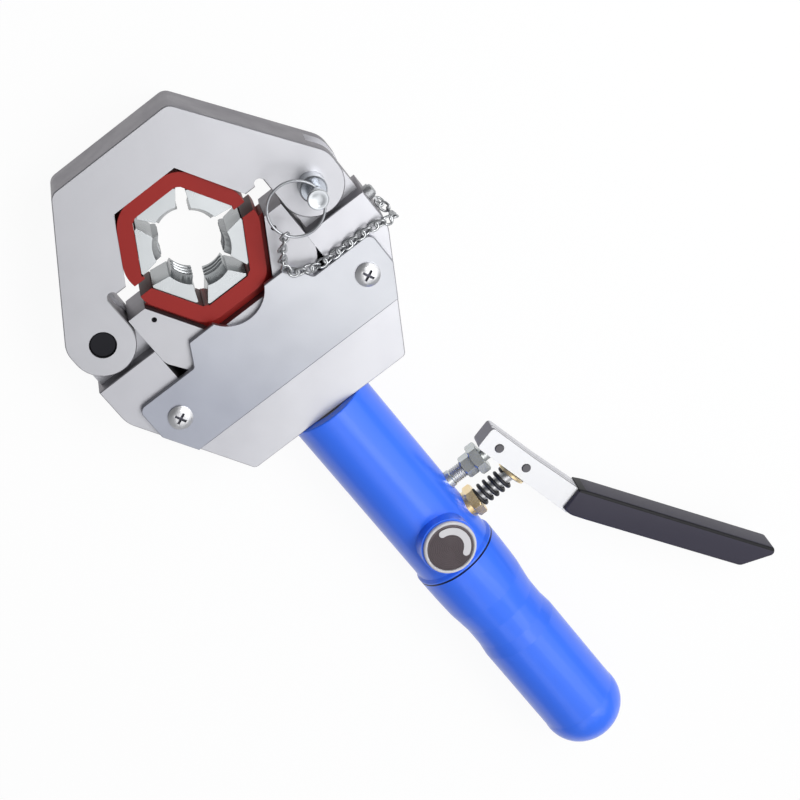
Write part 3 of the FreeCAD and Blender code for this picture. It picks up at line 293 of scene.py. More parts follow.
# %% Mixing colours
def shades(material, share, first, second):
    """Mix two colours by a share from 0 to 1; each is three plain values or the output of a node."""
    mix = material.node_tree.nodes.new("ShaderNodeMix")
    mix.data_type = "RGBA"
    for socket, colour in (("A", first), ("B", second)):
        if isinstance(colour, tuple):
            mix.inputs[socket].default_value = (*colour, 1)
        else:
            material.node_tree.links.new(colour, mix.inputs[socket])
    material.node_tree.links.new(share, mix.inputs["Factor"])
    return mix.outputs["Result"]


def mix_painted_shade(material, base, dark):
    """Mix in painted shade where the mesh carries the attribute named painted_shade."""
    read = material.node_tree.nodes.new("ShaderNodeAttribute")
    read.attribute_name = "painted_shade"
    return shades(material, read.outputs["Fac"], base, dark)


print("colours can be mixed")

# %% [markdown]
# ### Where a point lies and where it faces
# A few finishes change along the piece, or with the way a face turns. Masks could be painted on the
# mesh, but a dot product with a direction gives both: of the point for the place, of the normal for the
# turn. A dark line is then a narrow range of places.

# %% Where a point lies and where it faces
def measure(material, output, direction):
    """Dot product of a texture coordinate with a direction."""
    tree = material.node_tree
    place = tree.nodes.new("ShaderNodeTexCoord")
    product = tree.nodes.new("ShaderNodeVectorMath")
    product.operation = "DOT_PRODUCT"
    product.inputs[1].default_value = Vector(direction).normalized()
    tree.links.new(place.outputs[output], product.inputs[0])
    return product.outputs["Value"]


def along(material, direction):
    """Distance along a direction from the model's origin, in metres."""
    return measure(material, "Object", direction)


def toward(material, direction):
    """How far the surface faces a direction, from -1 to 1."""
    return measure(material, "Normal", direction)


def facing_z(material):
    """How far the surface faces up or down the Z axis, from 0 to 1."""
    size = material.node_tree.nodes.new("ShaderNodeMath")
    size.operation = "ABSOLUTE"
    material.node_tree.links.new(toward(material, (0, 0, 1)), size.inputs[0])
    return size.outputs[0]


def stripe(material, value, low, high):
    """One between two limits in metres and nought outside them."""
    tree = material.node_tree
    offset = tree.nodes.new("ShaderNodeMath")
    offset.operation = "SUBTRACT"
    offset.inputs[1].default_value = (low + high) / 2
    inside = tree.nodes.new("ShaderNodeMath")
    inside.operation = "COMPARE"
    inside.inputs[1].default_value = 0.0
    inside.inputs[2].default_value = (high - low) / 2
    tree.links.new(value, offset.inputs[0])
    tree.links.new(offset.outputs[0], inside.inputs[0])
    return inside.outputs[0]


print("places and directions can be read")

# %% [markdown]
# ### Plated steel
# The large faces of the head look ground and plated to a satin silver, and its cut sides get painted
# shade: a darker colour stands in for the light they miss. Faces could be picked by hand for two
# materials, but their normals tell them apart. A fine noise drawn out along X gives the faint marks of
# grinding, and a painted light slope brightens a face across its width.

# %% Plated steel
def plated_steel(name, face_colour, side_shading_colour, roughness, grain_depth, painted_light_slope=None, dark=None):
    """Plated steel with painted shading on its sides; painted_light_slope is a painted highlight: a
    brighter face colour, a direction and the two ends of the slope along it.
    """
    material = finish(name, face_colour, metallic=0.85, roughness=roughness)
    # Painted light and shade: faces turned away from Z take the side colour, which stands for how the
    # lamps light them.
    flat = between(material, facing_z(material), 0.0, 1.0, start=0.5, end=0.9)
    colour = shades(material, flat, side_shading_colour, face_colour)
    # Painted highlight: along the given direction the faces slope to a brighter colour, where the lamps
    # lit them more.
    if painted_light_slope:
        lit_far_colour, direction, start, end = painted_light_slope
        slope = between(material, along(material, direction), 0.0, 1.0, start=start, end=end)
        far = shades(material, flat, side_shading_colour, lit_far_colour)
        colour = shades(material, slope, colour, far)
    # Painted shade from the painted_shade attribute, laid on recesses and rims.
    if dark:
        colour = mix_painted_shade(material, colour, dark)
    feed(material, "Base Color", colour)
    mottle = pattern(material, 60.0, detail=5.0)
    feed(material, "Roughness", between(material, mottle, roughness - 0.05, roughness + 0.07))
    grain = pattern(material, 900.0, stretch=(0.06, 1, 1), detail=3.0)
    raise_surface(material, grain, 0.25, grain_depth)
    return material


# Each side colour below is painted shading; frame and plate also carry a painted highlight slope.
head_steel = plated_steel("head_steel", (0.54, 0.54, 0.565), (0.20, 0.19, 0.21), 0.42, 0.00006)
frame_steel = plated_steel("frame_steel", (0.54, 0.54, 0.57), (0.22, 0.21, 0.23), 0.42, 0.00006,
                           painted_light_slope=((0.67, 0.67, 0.70), (0.6, -0.8, 0), 0.035, 0.10))
plate_steel = plated_steel("plate_steel", (0.37, 0.385, 0.44), (0.32, 0.32, 0.36), 0.34, 0.00004,
                           painted_light_slope=((0.55, 0.56, 0.59), (0.85, 0.5, 0), -0.075, 0.0))
print("steel of the head:", head_steel.name, frame_steel.name, plate_steel.name)

# %% [markdown]
# ### Small steel pieces
# Pins, nuts, springs and links each look a little different from the head. They could share one steel,
# but their colours in the photo are too far apart, so they use the recipe of the head with values of
# their own. Even the bright ones stay fairly rough, because none of them looks like a mirror.

# %% Small steel pieces
# Here too the side colours are painted shading: darker on most pieces and lighter on a few.
bright_steel = plated_steel("bright_steel", (0.72, 0.72, 0.73), (0.56, 0.56, 0.58), 0.32, 0.00003,
                            dark=(0.10, 0.10, 0.12))
nut_zinc = plated_steel("nut_zinc", (0.78, 0.80, 0.79), (0.58, 0.61, 0.60), 0.26, 0.00003,
                        dark=(0.05, 0.06, 0.06))
pin_dark = plated_steel("pin_dark", (0.13, 0.125, 0.135), (0.10, 0.10, 0.11), 0.35, 0.00003)
pin_grey = plated_steel("pin_grey", (0.36, 0.38, 0.42), (0.50, 0.52, 0.55), 0.24, 0.00003)
black_steel = plated_steel("black_steel", (0.05, 0.05, 0.055), (0.05, 0.05, 0.055), 0.45, 0.00005)
black_oxide = plated_steel("black_oxide", (0.020, 0.020, 0.024), (0.03, 0.03, 0.034), 0.5, 0.00005)
turned_steel = plated_steel("turned_steel", (0.085, 0.070, 0.075), (0.085, 0.070, 0.075), 0.35, 0.00004)
chrome = plated_steel("bright_chrome", (0.58, 0.60, 0.62), (0.50, 0.52, 0.54), 0.30, 0.00002)
ring_steel = plated_steel("ring_steel", (0.42, 0.43, 0.45), (0.36, 0.37, 0.39), 0.34, 0.00002)
chain_steel = plated_steel("chain_steel", (0.50, 0.51, 0.52), (0.40, 0.41, 0.42), 0.34, 0.00002)
segment_chrome = plated_steel("segment_chrome", (0.54, 0.56, 0.57), (0.34, 0.36, 0.37), 0.26, 0.00002,
                              dark=(0.12, 0.12, 0.13))
print("bright:", bright_steel.name, nut_zinc.name, chrome.name, segment_chrome.name)
print("grey and dark:", pin_grey.name, ring_steel.name, chain_steel.name, pin_dark.name)
print("black:", black_steel.name, black_oxide.name, turned_steel.name)

# %% [markdown]
# ### Zinc of the lever channel
# The lever's channel looks like folded sheet with a zinc coat. Its flat cheeks are almost white, its
# closed end gets painted shade, and two fine dark lines run along the folded back. They could be cut as
# grooves, but the photo doesn't show how deep they are, so they are only a change of colour.

# %% Zinc of the lever channel
channel_end = (-0.233, 0.972, 0)
channel_zinc = finish("channel_zinc", (0.90, 0.90, 0.90), metallic=0.6, roughness=0.34)
across = along(channel_zinc, (0, 0, 1))
near_line = stripe(channel_zinc, across, 0.0040, 0.0054)
far_line = stripe(channel_zinc, across, 0.0002, 0.0012)
back_colour = shades(channel_zinc, near_line, (0.62, 0.62, 0.65), (0.10, 0.10, 0.12))
back_colour = shades(channel_zinc, far_line, back_colour, (0.24, 0.24, 0.27))
# Painted shade: the closed end turns dark where it faces channel_end.
toward_shaded_end = between(channel_zinc, toward(channel_zinc, channel_end), 0.0, 1.0, start=0.6, end=0.8)
end_shaded_colour = shades(channel_zinc, toward_shaded_end, back_colour, (0.16, 0.155, 0.175))
on_cheek = between(channel_zinc, facing_z(channel_zinc), 0.0, 1.0, start=0.5, end=0.9)
feed(channel_zinc, "Base Color", shades(channel_zinc, on_cheek, end_shaded_colour, (0.82, 0.82, 0.83)))
print("lever channel:", len(channel_zinc.node_tree.nodes), "nodes")

# %% [markdown]
# ### Paint, plastic and rubber
# The cylinder is painted blue and the die halves a satin red. The knob is white plastic, the seals are
# black rubber, and the lever's grip is dark and moulded. Recipes of their own would mostly repeat each
# other, so all are one coat with a faint cloud in its colour and a fine ripple. A dark line can be laid
# over it: one is the seam between cylinder and hand grip, the other is painted shade in a crease along
# the lever's grip.

# %% Paint, plastic and rubber
def paint_coat(name, colour, shade, roughness, coat, peel, line=None, shine=0.3, dark=None):
    """A coat of paint; line is a direction, its two limits in metres and its colour."""
    material = finish(name, colour, roughness=roughness, coat=coat)
    material.node_tree.nodes["Principled BSDF"].inputs["Specular IOR Level"].default_value = shine
    base = shades(material, pattern(material, 25.0, detail=3.0), shade, colour)
    if line:
        direction, low, high, line_colour = line
        crossing = stripe(material, along(material, direction), low, high)
        base = shades(material, crossing, base, line_colour)
    # Painted shade from the painted_shade attribute, laid on recesses and walls.
    if dark:
        base = mix_painted_shade(material, base, dark)
    feed(material, "Base Color", base)
    raise_surface(material, pattern(material, 700.0, detail=2.0), 0.15, peel)
    return material


tube_seam = ((0, 1, 0), -0.2356, -0.2344, (0.004, 0.012, 0.07))
# Painted shade: the dark line of the crease along the lever's grip.
grip_crease_shade = ((0.849, 0.528, 0), -0.0670, -0.0653, (0.004, 0.004, 0.006))
blue_paint = paint_coat("blue_paint", (0.028, 0.165, 0.95), (0.025, 0.150, 0.90), 0.36, 0.3, 0.00004,
                        line=tube_seam, shine=0.5)
red_paint = paint_coat("red_paint", (0.325, 0.0140, 0.0100), (0.27, 0.0120, 0.0090), 0.48, 0.0, 0.00008,
                       dark=(0.045, 0.006, 0.005))
white_plastic = paint_coat("white_plastic", (0.60, 0.59, 0.61), (0.56, 0.55, 0.57), 0.40, 0.1, 0.00003)
black_rubber = paint_coat("black_rubber", (0.030, 0.030, 0.034), (0.022, 0.022, 0.026), 0.6, 0.0, 0.0001)
grip_plastic = paint_coat("grip_plastic", (0.040, 0.037, 0.056), (0.034, 0.031, 0.048), 0.5, 0.0, 0.0001,
                          line=grip_crease_shade)
print("coats:", blue_paint.name, red_paint.name, white_plastic.name, black_rubber.name, grip_plastic.name)

# %% [markdown]
# ### Brass
# The gland and the washer under the lever look like machined brass that has dulled a little. Two noises
# could do it, but one that drives both the colour and the roughness is truer: where the brass has gone
# pale it is also duller.

# %% Brass
brass = finish("machined_brass", (0.88, 0.68, 0.38), metallic=0.9, roughness=0.30)
tarnish = pattern(brass, 90.0, detail=5.0)
brass_colour = shades(brass, between(brass, tarnish, 0, 1), (0.92, 0.68, 0.36), (1.0, 0.87, 0.58))
feed(brass, "Base Color", brass_colour)
feed(brass, "Roughness", between(brass, tarnish, 0.22, 0.40))
print("brass:", len(brass.node_tree.nodes), "nodes")

# %% [markdown]
# ### Dressing the rigid pieces
# Each rigid piece carries the name of its finish. The materials could be set piece by piece, but a table
# from these names is shorter. A second table names the pieces that look different from the others with
# the same finish.

# %% Dressing the rigid pieces
by_slot = {
    "head_steel": head_steel, "plate_steel": plate_steel, "screw_steel": bright_steel,
    "grub_steel": black_oxide, "pin_steel": chrome, "chain_zinc": chain_steel,
    "carrier_red": red_paint, "segment_chrome": segment_chrome, "ram_steel": chrome,
    "seal_rubber": black_rubber, "spring_steel": black_steel, "valve_steel": bright_steel,
    "blue_paint": blue_paint, "knob_white": white_plastic, "disc_steel": turned_steel,
    "label_white": white_plastic, "zinc_steel": bright_steel, "pump_steel": bright_steel,
    "brass": brass, "grip_rubber": grip_plastic,
}
by_node = {
    "lower_frame": frame_steel, "pusher_block": head_steel, "lever_channel": channel_zinc,
    "fulcrum_stud": nut_zinc, "stud_lock_nut": nut_zinc, "stud_adjusting_nut": nut_zinc,
    "fulcrum_pin": pin_dark, "plunger_pin": pin_dark, "lock_pin": pin_grey, "pull_ring": ring_steel,
}
slot_of = {part["node"]: part["material_slot"] for part in frame["record"]["subparts"]}
body_of = {node: body for body, nodes in frame["record"]["behaviour"]["bodies"].items() for node in nodes}
for node, item in frame["nodes"].items():
    for held in item.material_slots:
        held.material = by_node.get(node, by_slot[slot_of[node]])
print("dressed", len(frame["nodes"]), "rigid pieces")

# %% [markdown]
# ## Modelling
# Points are given in millimetres in the model's own frame. The pieces made below all end the same way:
# each is shaded smooth up to an angle and gets its finish, then rides a body if it moves with one, and
# takes the place of a rigid piece if there is one. This could be written out each time, but in one
# helper no piece can miss a step.

# %% Closing a piece
def close_up(work, name, body, slot, *nodes, sharp=32.0):
    """Turn the working mesh into a finished piece; the nodes are the rigid pieces it replaces."""
    bmesh.ops.recalc_face_normals(work, faces=work.faces)
    mesh = bpy.data.meshes.new(name)
    work.to_mesh(mesh)
    work.free()
    mesh.shade_smooth()
    mesh.set_sharp_from_angle(angle=math.radians(sharp))
    item = new_object(name, mesh)
    mesh.materials.append(by_node.get(nodes[0], by_slot[slot]) if nodes else by_slot[slot])
    if body:
        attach(item, body)
    if nodes:
        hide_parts(*nodes)
    print(name, "with", len(mesh.polygons), "faces")
    return item


# %% [markdown]
# ### Rounding the edges of a rigid piece
# A real edge is never quite sharp, and it catches a line of light. Each piece could be modelled again
# with rounded edges, but a copy of the rigid one with a bevel is shorter and keeps its sizes. The bevel
# needs whole faces, so the seams of the copy are merged and its flat triangles joined first.

# %% Rounding the edges of a rigid piece
seam_gap = 0.000003
flat_angle = math.radians(0.6)
keen_angle = math.radians(28)


def copy_of(node):
    """A working copy of a rigid piece, with the seams between its faces merged."""
    rigid = frame["nodes"][node]
    work = bmesh.new()
    work.from_mesh(rigid.data)
    work.transform(rigid.matrix_world)
    bmesh.ops.remove_doubles(work, verts=work.verts, dist=seam_gap)
    return work


def soften(node, width, edge_shade=0.0, shade_rule=None):
    """Copy a rigid piece, make its flat faces whole again and round its edges.

    The face attribute named painted_shade holds painted shade: edge_shade on the rounded edges, and what
    shade_rule gives for the middle and the normal of each other face.
    """
    work = copy_of(node)
    bmesh.ops.dissolve_limit(work, angle_limit=flat_angle, verts=work.verts, edges=work.edges)
    painted_shade = work.faces.layers.float.new("painted_shade")
    if shade_rule:
        for face in work.faces:
            face[painted_shade] = shade_rule(face.calc_center_median() / MM, face.normal)
    keen = [edge for edge in work.edges
            if len(edge.link_faces) == 2 and edge.calc_face_angle(0.0) > keen_angle]
    rounded = bmesh.ops.bevel(work, geom=keen, offset=width * MM, offset_type="OFFSET", segments=2,
                              profile=0.5, affect="EDGES", clamp_overlap=True, material=-1)
    if edge_shade:
        for face in rounded["faces"]:
            face[painted_shade] = edge_shade
    item = close_up(work, node + "_soft", body_of[node], slot_of[node], node)
    level = item.modifiers.new("level_faces", "WEIGHTED_NORMAL")
    level.keep_sharp = True


print("edges above", round(math.degrees(keen_angle)), "degrees are rounded")

# %% [markdown]
# ### Hollows in shade
# The ribbed mouths of the segments, the walls inside the die halves and the cross recesses of the screws
# look darker in the photo than the soft lamps leave them. Their faces could be picked by hand. A rule on
# the middle and the normal of each face does the same, and can be read again later.

# %% Hollows in shade
recess_radius = 3.0
recess_depth = 0.4
recess_shade = 1.0
mouth_y = -4.0
mouth_radius = 19.0
mouth_shade = 0.35
die_wall_radius = 36.0
die_wall_shade = 0.8

right_screw = frame["nodes"]["front_cover_screw_right"]
screw_box = [right_screw.matrix_world @ Vector(corner) for corner in right_screw.bound_box]
screw_place = sum(screw_box, Vector()) / 8 / MM
screw_place.z = max(corner.z for corner in screw_box) / MM


# Painted shade: these rules set how much shade is painted on screw recesses, segment mouths and the die
# halves' inner walls.
def in_cross(side):
    """The cross recess of a plate screw: near its axis and below the top of the head."""
    def shade(middle, normal):
        out = math.hypot(middle.x - side * screw_place.x, middle.y - screw_place.y)
        return recess_shade if out < recess_radius and middle.z < screw_place.z - recess_depth else 0.0
    return shade


def in_mouth(middle, normal):
    """The ribbed and flared mouth of a die segment."""
    out = math.hypot(middle.x, middle.y - mouth_y)
    return mouth_shade if out < mouth_radius and abs(normal.z) < 0.9 else 0.0


def in_ring(middle, normal):
    """The inner side walls of a die half, which the segments leave in shade."""
    out = math.hypot(middle.x, middle.y)
    inward = abs(normal.z) < 0.5 and middle.dot(normal) < 0
    return die_wall_shade if out < die_wall_radius and inward else 0.0


print("plate screw at", [round(value, 1) for value in screw_place])

# %% [markdown]
# ### Softened pieces
# The red die halves get the widest rounding and the nuts nearly as much, while the segments, the pin and
# the screws get a narrow one. One width for all would be simpler, but it would eat up the small pieces.
# The rounded edges of the nuts get painted shade too, which draws dark rims around their bright flats.

# %% Softened pieces
die_rounding = 0.8
segment_rounding = 0.3
screw_rounding = 0.2
# Painted shade on the rims of the nuts.
nut_rim_shade = 0.95

for node in ("upper_die_carrier", "lower_die_carrier"):
    soften(node, die_rounding, shade_rule=in_ring)
for place in ("top", "upper_left", "upper_right", "bottom", "lower_left", "lower_right"):
    soften("die_segment_" + place, segment_rounding, shade_rule=in_mouth)
for node, width in (("stud_lock_nut", 0.6), ("stud_adjusting_nut", 0.75)):
    soften(node, width, edge_shade=nut_rim_shade)
for node, width in (("lever_channel", 0.4), ("gland_nut", 0.5), ("lock_pin", 0.25)):
    soften(node, width)
soften("front_cover_screw_left", screw_rounding, shade_rule=in_cross(-1))
soften("front_cover_screw_right", screw_rounding, shade_rule=in_cross(1))

# %% [markdown]
# ### Lock button
# The round button on the end of the lock pin has a shallow dish in its face. It could be cut from two
# cylinders. A turned piece is shorter to draw as half of its section, which is then spun about the axis,
# and a rounded rim costs only a few more points.

# %% Lock button
turned_gap = 0.000002


def lathe(work, profile, base, axis, steps=72):
    """Spin a profile of (distance along, radius) about an axis."""
    axis = Vector(axis).normalized()
    side = axis.orthogonal().normalized()
    points = [work.verts.new((Vector(base) + axis * far + side * out) * MM) for far, out in profile]
    edges = [work.edges.new(pair) for pair in zip(points, points[1:])]
    bmesh.ops.spin(work, geom=points + edges, cent=Vector(base) * MM, axis=axis,
                   angle=math.tau, steps=steps, use_merge=True)
    bmesh.ops.remove_doubles(work, verts=work.verts, dist=turned_gap)


pin_axis = (65.5, -16.5, 0)
work = bmesh.new()
lathe(work, [
    (11.8, 0), (11.8, 1.1), (38.6, 1.1), (38.6, 4.7), (38.8, 5.15), (39.2, 5.3), (40.3, 5.3),
    (40.75, 5.15), (41.0, 4.8), (41.0, 3.4), (40.8, 2.9), (40.6, 1.5), (40.55, 0),
], pin_axis, (0, 0, 1))
close_up(work, "button_dished", body_of["lock_button"], "pin_steel", "lock_button")

# %% [markdown]
# ### Pull ring
# The ring through the lock pin is one smooth wire. A torus would do, but the circle across the wire that
# is spun here is needed again for the pump's spring and for the links of the chain.

# %% Pull ring
def wire_section(work, centre, heading, radius, sides=12):
    """Circle of edges across a wire that runs in the heading's direction."""
    turn = Vector((0, 0, 1)).rotation_difference(Vector(heading)).to_matrix().to_4x4()
    place = Matrix.Translation(Vector(centre) * MM) @ turn
    bmesh.ops.create_circle(work, segments=sides, radius=radius * MM, matrix=place)


ring_centre = Vector((53.5, -16.5, 30.7))
ring_reach = Vector((14.2, 0, 0))
ring_wire = 0.7
work = bmesh.new()
wire_section(work, ring_centre + ring_reach, (0, 1, 0), ring_wire)
bmesh.ops.spin(work, geom=work.verts[:] + work.edges[:], cent=ring_centre * MM,
               axis=(0, 0, 1), angle=math.tau, steps=96, use_merge=True)
close_up(work, "ring_wire", body_of["pull_ring"], slot_of["pull_ring"], "pull_ring")

# %% [markdown]
# ### Release knob
# The white knob sits on the cylinder and leans a little to the lever's side. Its rim stands slightly
# above the disc that is glued in. It could be turned upright and leaned over afterwards, but the lathe
# takes a leaning axis, which saves that step.

# %% Release knob
knob_lean = math.radians(8.0)
knob_axis = (math.sin(knob_lean), 0, math.cos(knob_lean))
knob_base = (0, -215.0, 0)
knob_steps = 96
disc_seat = 31.1
work = bmesh.new()
lathe(work, [
    (29.2, 0), (29.2, 13.9), (29.4, 14.3), (29.8, 14.4), (31.0, 14.4), (31.4, 14.25), (31.7, 13.9),
    (31.8, 13.4), (31.8, 13.2), (31.65, 12.95), (disc_seat, 12.8), (disc_seat, 0),
], knob_base, knob_axis, knob_steps)
close_up(work, "knob_body", body_of["release_knob"], "knob_white", "release_knob")

# %% [markdown]
# ### Turned disc
# The steel disc in the knob shows the rings of the turning tool. A bump could fake them, but real grooves
# catch the light in circles from every side, and a loop adds them to the profile.

# %% Turned disc
disc_face = 31.45
groove_floor = 31.33
groove_count = 12
profile = [(disc_seat, 0), (disc_seat, 12.7), (31.35, 12.6)]
for i in range(groove_count):
    out = 12.2 - i
    profile += [(disc_face, out), (disc_face, out - 0.55)]
    profile += [(groove_floor, out - 0.7), (groove_floor, out - 0.85)]
profile += [(disc_face, 0.3), (disc_face, 0)]
work = bmesh.new()
lathe(work, profile, knob_base, knob_axis, knob_steps)
close_up(work, "disc_turned", body_of["knob_disc"], "disc_steel", "knob_disc", sharp=20.0)

# %% [markdown]
# ### Crescent on the knob
# A thin white crescent with round ends lies on the disc. It could be cut from two discs, but an outline
# of four arcs gives the round ends as well. The outline is extruded flat and then leans with the knob.

# %% Crescent on the knob
def slab(work, outline, low, high):
    """Extrude a closed outline from low to high along Z."""
    base = [work.verts.new(Vector((p.x, p.y, low)) * MM) for p in outline]
    face = work.faces.new(base)
    grown = bmesh.ops.extrude_face_region(work, geom=[face])
    raised = [g for g in grown["geom"] if isinstance(g, bmesh.types.BMVert)]
    bmesh.ops.translate(work, vec=(0, 0, (high - low) * MM), verts=raised)


def arc(centre, radius, start, end, steps):
    """Points of an arc between two angles in degrees."""
    angles = [math.radians(start + (end - start) * i / steps) for i in range(steps + 1)]
    return [Vector((centre[0] + radius * math.cos(a), centre[1] + radius * math.sin(a))) for a in angles]


middle_radius = 9.3
half_width = 1.95
first = -58.0
last = 82.0
crescent_top = 31.7
low_end, high_end = arc((0, 0), middle_radius, first, last, 1)
crescent = arc((0, 0), middle_radius + half_width, first, last, 28)
crescent += arc(high_end, half_width, last, last + 180, 10)[1:]
crescent += arc((0, 0), middle_radius - half_width, last, first, 28)[1:]
crescent += arc(low_end, half_width, first + 180, first + 360, 10)[1:-1]
work = bmesh.new()
slab(work, crescent, disc_face, crescent_top)
lean = Matrix.Translation(Vector(knob_base) * MM) @ Matrix.Rotation(knob_lean, 4, "Y")
bmesh.ops.transform(work, verts=work.verts, matrix=lean)
close_up(work, "crescent_bare", body_of["knob_label_pad"], slot_of["knob_label_pad"], "knob_label_pad")

# %% [markdown]
# ### Thread of the stud
# Between the cylinder and the first nut the stud shows its thread. A true helix would need its ends
# faded out. Rings side by side look the same at this size, and the lathe makes them in one go.

# %% Thread of the stud
stud_y = -197.7
thread_start = 25.8
thread_pitch = 1.2
crest = 4.4
valley = 3.9
core = 3.6
ridges = [(25.6, core)]
for i in range(6):
    start = thread_start + thread_pitch * i
    ridges += [(start, valley), (start + 0.45, crest), (start + 0.65, crest), (start + 1.1, valley)]
ridges += [(32.95, core)]
work = bmesh.new()
lathe(work, ridges, (0, stud_y, 0), (1, 0, 0), 40)
close_up(work, "stud_thread", "frame", "zinc_steel")

# %% [markdown]
# ### Spring of the pump
# A black spring pushes the plunger back. A curve with a bevel could draw it, but a circle that is spun
# and moved on at each step is a mesh at once, and its two ends are then filled.

# %% Spring of the pump
spring_start = 29.3
spring_end = 47.9
plunger_y = -216.5
coil_radius = 5.1
coil_wire = 1.0
turns = 5
steps = 40 * turns
work = bmesh.new()
wire_section(work, (spring_start, plunger_y + coil_radius, 0), (0, 0, 1), coil_wire)
bmesh.ops.spin(work, geom=work.verts[:] + work.edges[:], cent=Vector((0, plunger_y, 0)) * MM,
               axis=(1, 0, 0), dvec=Vector(((spring_end - spring_start) * MM / steps, 0, 0)),
               angle=math.tau * turns, steps=steps)
bmesh.ops.holes_fill(work, edges=work.edges, sides=20)
spring = close_up(work, "pump_spring", body_of["plunger_spring"], "spring_steel", "plunger_spring")
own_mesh(spring)

# %% [markdown]
# ### Return spring of the ram
# A coil round the ram's rod pushes the piston back, and the lower die with it. It is hidden in the
# cylinder. It could be spun like the pump's spring, but a copy of the rigid coil is good enough there.
# It has to shorten towards the frame as the ram rises, or the piston would run into it.

# %% Return spring of the ram
work = copy_of("ram_return_spring")
ram_spring = close_up(work, "ram_spring", body_of["ram_return_spring"], "spring_steel",
                      "ram_return_spring")
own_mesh(ram_spring)

# %% [markdown]
# ### Lever grip
# The dark grip is moulded on the end of the lever's channel. A box could be bent and smoothed, but the
# photo shows its outline well. So the outline is drawn with arcs at its corners, extruded, and rounded
# along both rims.

# %% Lever grip
def rounded_outline(corners, steps=8):
    """Outline in the plane with arcs at the corners that have a radius."""
    points = []
    for i, corner in enumerate(corners):
        here = Vector(corner[:2])
        radius = corner[2] if len(corner) > 2 else 0.0
        before = (Vector(corners[i - 1][:2]) - here).normalized()
        after = (Vector(corners[(i + 1) % len(corners)][:2]) - here).normalized()
        if radius == 0:
            points.append(here)
            continue
        half_angle = before.angle(after) / 2
        middle = here + (before + after).normalized() * radius / math.sin(half_angle)
        start = here + before * radius / math.tan(half_angle) - middle
        sweep = start.angle_signed(here + after * radius / math.tan(half_angle) - middle)
        for k in range(steps + 1):
            turn_by = Matrix.Rotation(-sweep * k / steps, 2)
            points.append(middle + turn_by @ start)
    return points


grip_half = 9.2
grip_rounding = 1.6
level_gap = 0.000001
grip_outline = rounded_outline([
    (61.7, -248.65), (61.9, -253.5, 12.0), (67.0, -262.0, 12.0), (118.0, -343.0, 5.0),
    (136.6, -350.2, 2.6), (139.2, -347.0, 2.6), (78.6, -249.6, 12.0), (74.9, -244.9),
])
work = bmesh.new()
slab(work, grip_outline, -grip_half, grip_half)
rims = [edge for edge in work.edges if abs(edge.verts[0].co.z - edge.verts[1].co.z) < level_gap]
bmesh.ops.bevel(work, geom=rims, offset=grip_rounding * MM, offset_type="OFFSET", segments=4,
                profile=0.5, affect="EDGES", clamp_overlap=True, material=-1)
close_up(work, "grip_moulded", body_of["lever_grip"], "grip_rubber", "lever_grip")

# %% [markdown]
# ### Way of the tether chain
# The chain lies slack from the pull ring over the head's face to an eyelet on its side. A simulation
# could let it fall, but the photo shows where it lies. So it follows a smooth curve through chosen
# points, and a share of the curve's length gives the place of each link.

# %% Way of the tether chain
def smooth_path(points, per_span=16):
    """Curve through the points, as a list of close points."""
    ends = [points[0] * 2 - points[1]] + points + [points[-1] * 2 - points[-2]]
    path = []
    for i in range(1, len(ends) - 2):
        p0, p1, p2, p3 = ends[i - 1:i + 3]
        for k in range(per_span):
            t = k / per_span
            path.append((p1 * 2 + (p2 - p0) * t + (p0 * 2 - p1 * 5 + p2 * 4 - p3) * t * t
                         + (p1 * 3 - p0 - p2 * 3 + p3) * t ** 3) / 2)
    return path + [points[-1]]


def along_path(path, share):
    """Point and direction at a share of the path's length."""
    lengths = [(b - a).length for a, b in zip(path, path[1:])]
    left = share * sum(lengths)
    for i, length in enumerate(lengths):
        if left <= length:
            return path[i].lerp(path[i + 1], left / length), (path[i + 1] - path[i]).normalized()
        left -= length
    return path[-1], (path[-1] - path[-2]).normalized()


chain_points = [Vector(p) for p in (
    (42.3, -23.3, 31.6), (38.0, -26.6, 29.6), (33.9, -31.9, 26.0), (30.9, -37.4, 22.0),
    (30.1, -42.0, 20.4), (32.5, -45.7, 20.4), (36.5, -47.5, 20.4), (41.0, -50.0, 18.7),
    (46.0, -51.3, 17.5), (58.6, -51.7, 17.5), (70.0, -51.9, 17.5), (79.0, -52.8, 17.4),
    (85.2, -55.2, 16.4), (87.8, -56.4, 11.0), (87.4, -54.6, 6.6), (86.05, -50.6, 4.6),
    (85.55, -46.4, 4.0),
)]
chain_path = smooth_path(chain_points)
chain_length = sum((b - a).length for a, b in zip(chain_path, chain_path[1:]))
print("way of the chain:", round(chain_length), "mm")

# %% [markdown]
# ### One link of the chain
# Each link is a loop of round wire, twisted so that the chain lies flat. A stretched torus would have
# oval bends and an uneven wire, so the loop is built from two straights and two half turns, and then
# twisted about its length.

# %% One link of the chain
link_gap = 0.00001
upright_gap = 0.0000001


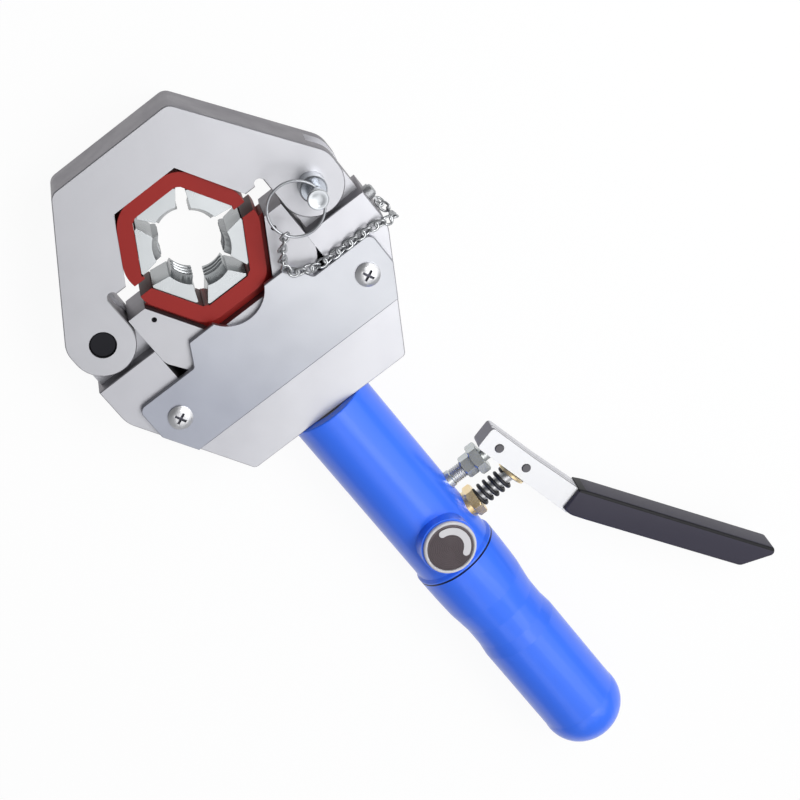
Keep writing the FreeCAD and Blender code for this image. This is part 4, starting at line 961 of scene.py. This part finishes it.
def link_mesh(length, width, wire, twist):
    """One link of round wire about X, with its ends turned against each other."""
    work = bmesh.new()
    bend = (width - wire) / 2
    straight = length / 2 - wire / 2 - bend
    wire_section(work, (-straight, -bend, 0), (1, 0, 0), wire / 2, 10)
    rim = work.edges[:]
    for side in (1, -1):
        grown = bmesh.ops.extrude_edge_only(work, edges=rim)["geom"]
        bmesh.ops.translate(work, vec=(side * 2 * straight * MM, 0, 0),
                            verts=[g for g in grown if isinstance(g, bmesh.types.BMVert)])
        rim = [g for g in grown if isinstance(g, bmesh.types.BMEdge)
               and abs(g.verts[0].co.x - g.verts[1].co.x) < upright_gap]
        geom = rim + list(dict.fromkeys(v for e in rim for v in e.verts))
        spun = bmesh.ops.spin(work, geom=geom, cent=(side * straight * MM, 0, 0), axis=(0, 0, 1),
                              angle=math.pi, steps=10)["geom_last"]
        rim = [g for g in spun if isinstance(g, bmesh.types.BMEdge)]
    bmesh.ops.remove_doubles(work, verts=work.verts, dist=link_gap)
    reach = length / 2 * MM
    for vert in work.verts:
        vert.co = Matrix.Rotation(twist * vert.co.x / reach, 3, "X") @ vert.co
    mesh = bpy.data.meshes.new("one_link")
    work.to_mesh(mesh)
    work.free()
    return mesh


link = link_mesh(length=6.6, width=5.4, wire=1.35, twist=math.radians(34))
print("one link with", len(link.polygons), "faces")

# %% [markdown]
# ### Tether chain
# Copies of the link stand along the way, rolled to one side and the other in turn. To move on its own,
# each link would need a body of its own. Instead the chain is made in three pieces: the first links
# between pull ring and pin, the next ones between pin and upper jaw, and the rest between the upper jaw
# and the frame.

# %% Tether chain
link_count = 27
link_roll = 30


def chain_piece(name, first, last):
    """The links from first to last, counted from the ring, as one piece."""
    work = bmesh.new()
    for i in range(first, last + 1):
        place, heading = along_path(chain_path, (i + 0.5) / link_count)
        known = len(work.verts)
        work.from_mesh(link)
        work.verts.ensure_lookup_table()
        lay = Vector((1, 0, 0)).rotation_difference(heading).to_matrix().to_4x4()
        roll = Matrix.Rotation(math.radians(link_roll * (-1) ** i), 4, "X")
        bmesh.ops.transform(work, matrix=Matrix.Translation(place * MM) @ lay @ roll,
                            verts=work.verts[known:])
    return close_up(work, name, None, slot_of["tether_chain"], "tether_chain", sharp=60.0)


def chain_place(links):
    """Point of the chain so many links from the ring."""
    return along_path(chain_path, links / link_count)[0] * MM


ring_end = chain_piece("chain_at_ring", 0, 1)
chain_place(2)
chain_place(0)
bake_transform(ring_end)
hanging = chain_piece("chain_hanging", 2, 5)
chain_place(6).z
chain_place(2).z + 0.0015
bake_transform(hanging)
lying = chain_piece("chain_lying", 6, link_count - 1)
chain_place(25)
chain_place(6)
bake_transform(lying)
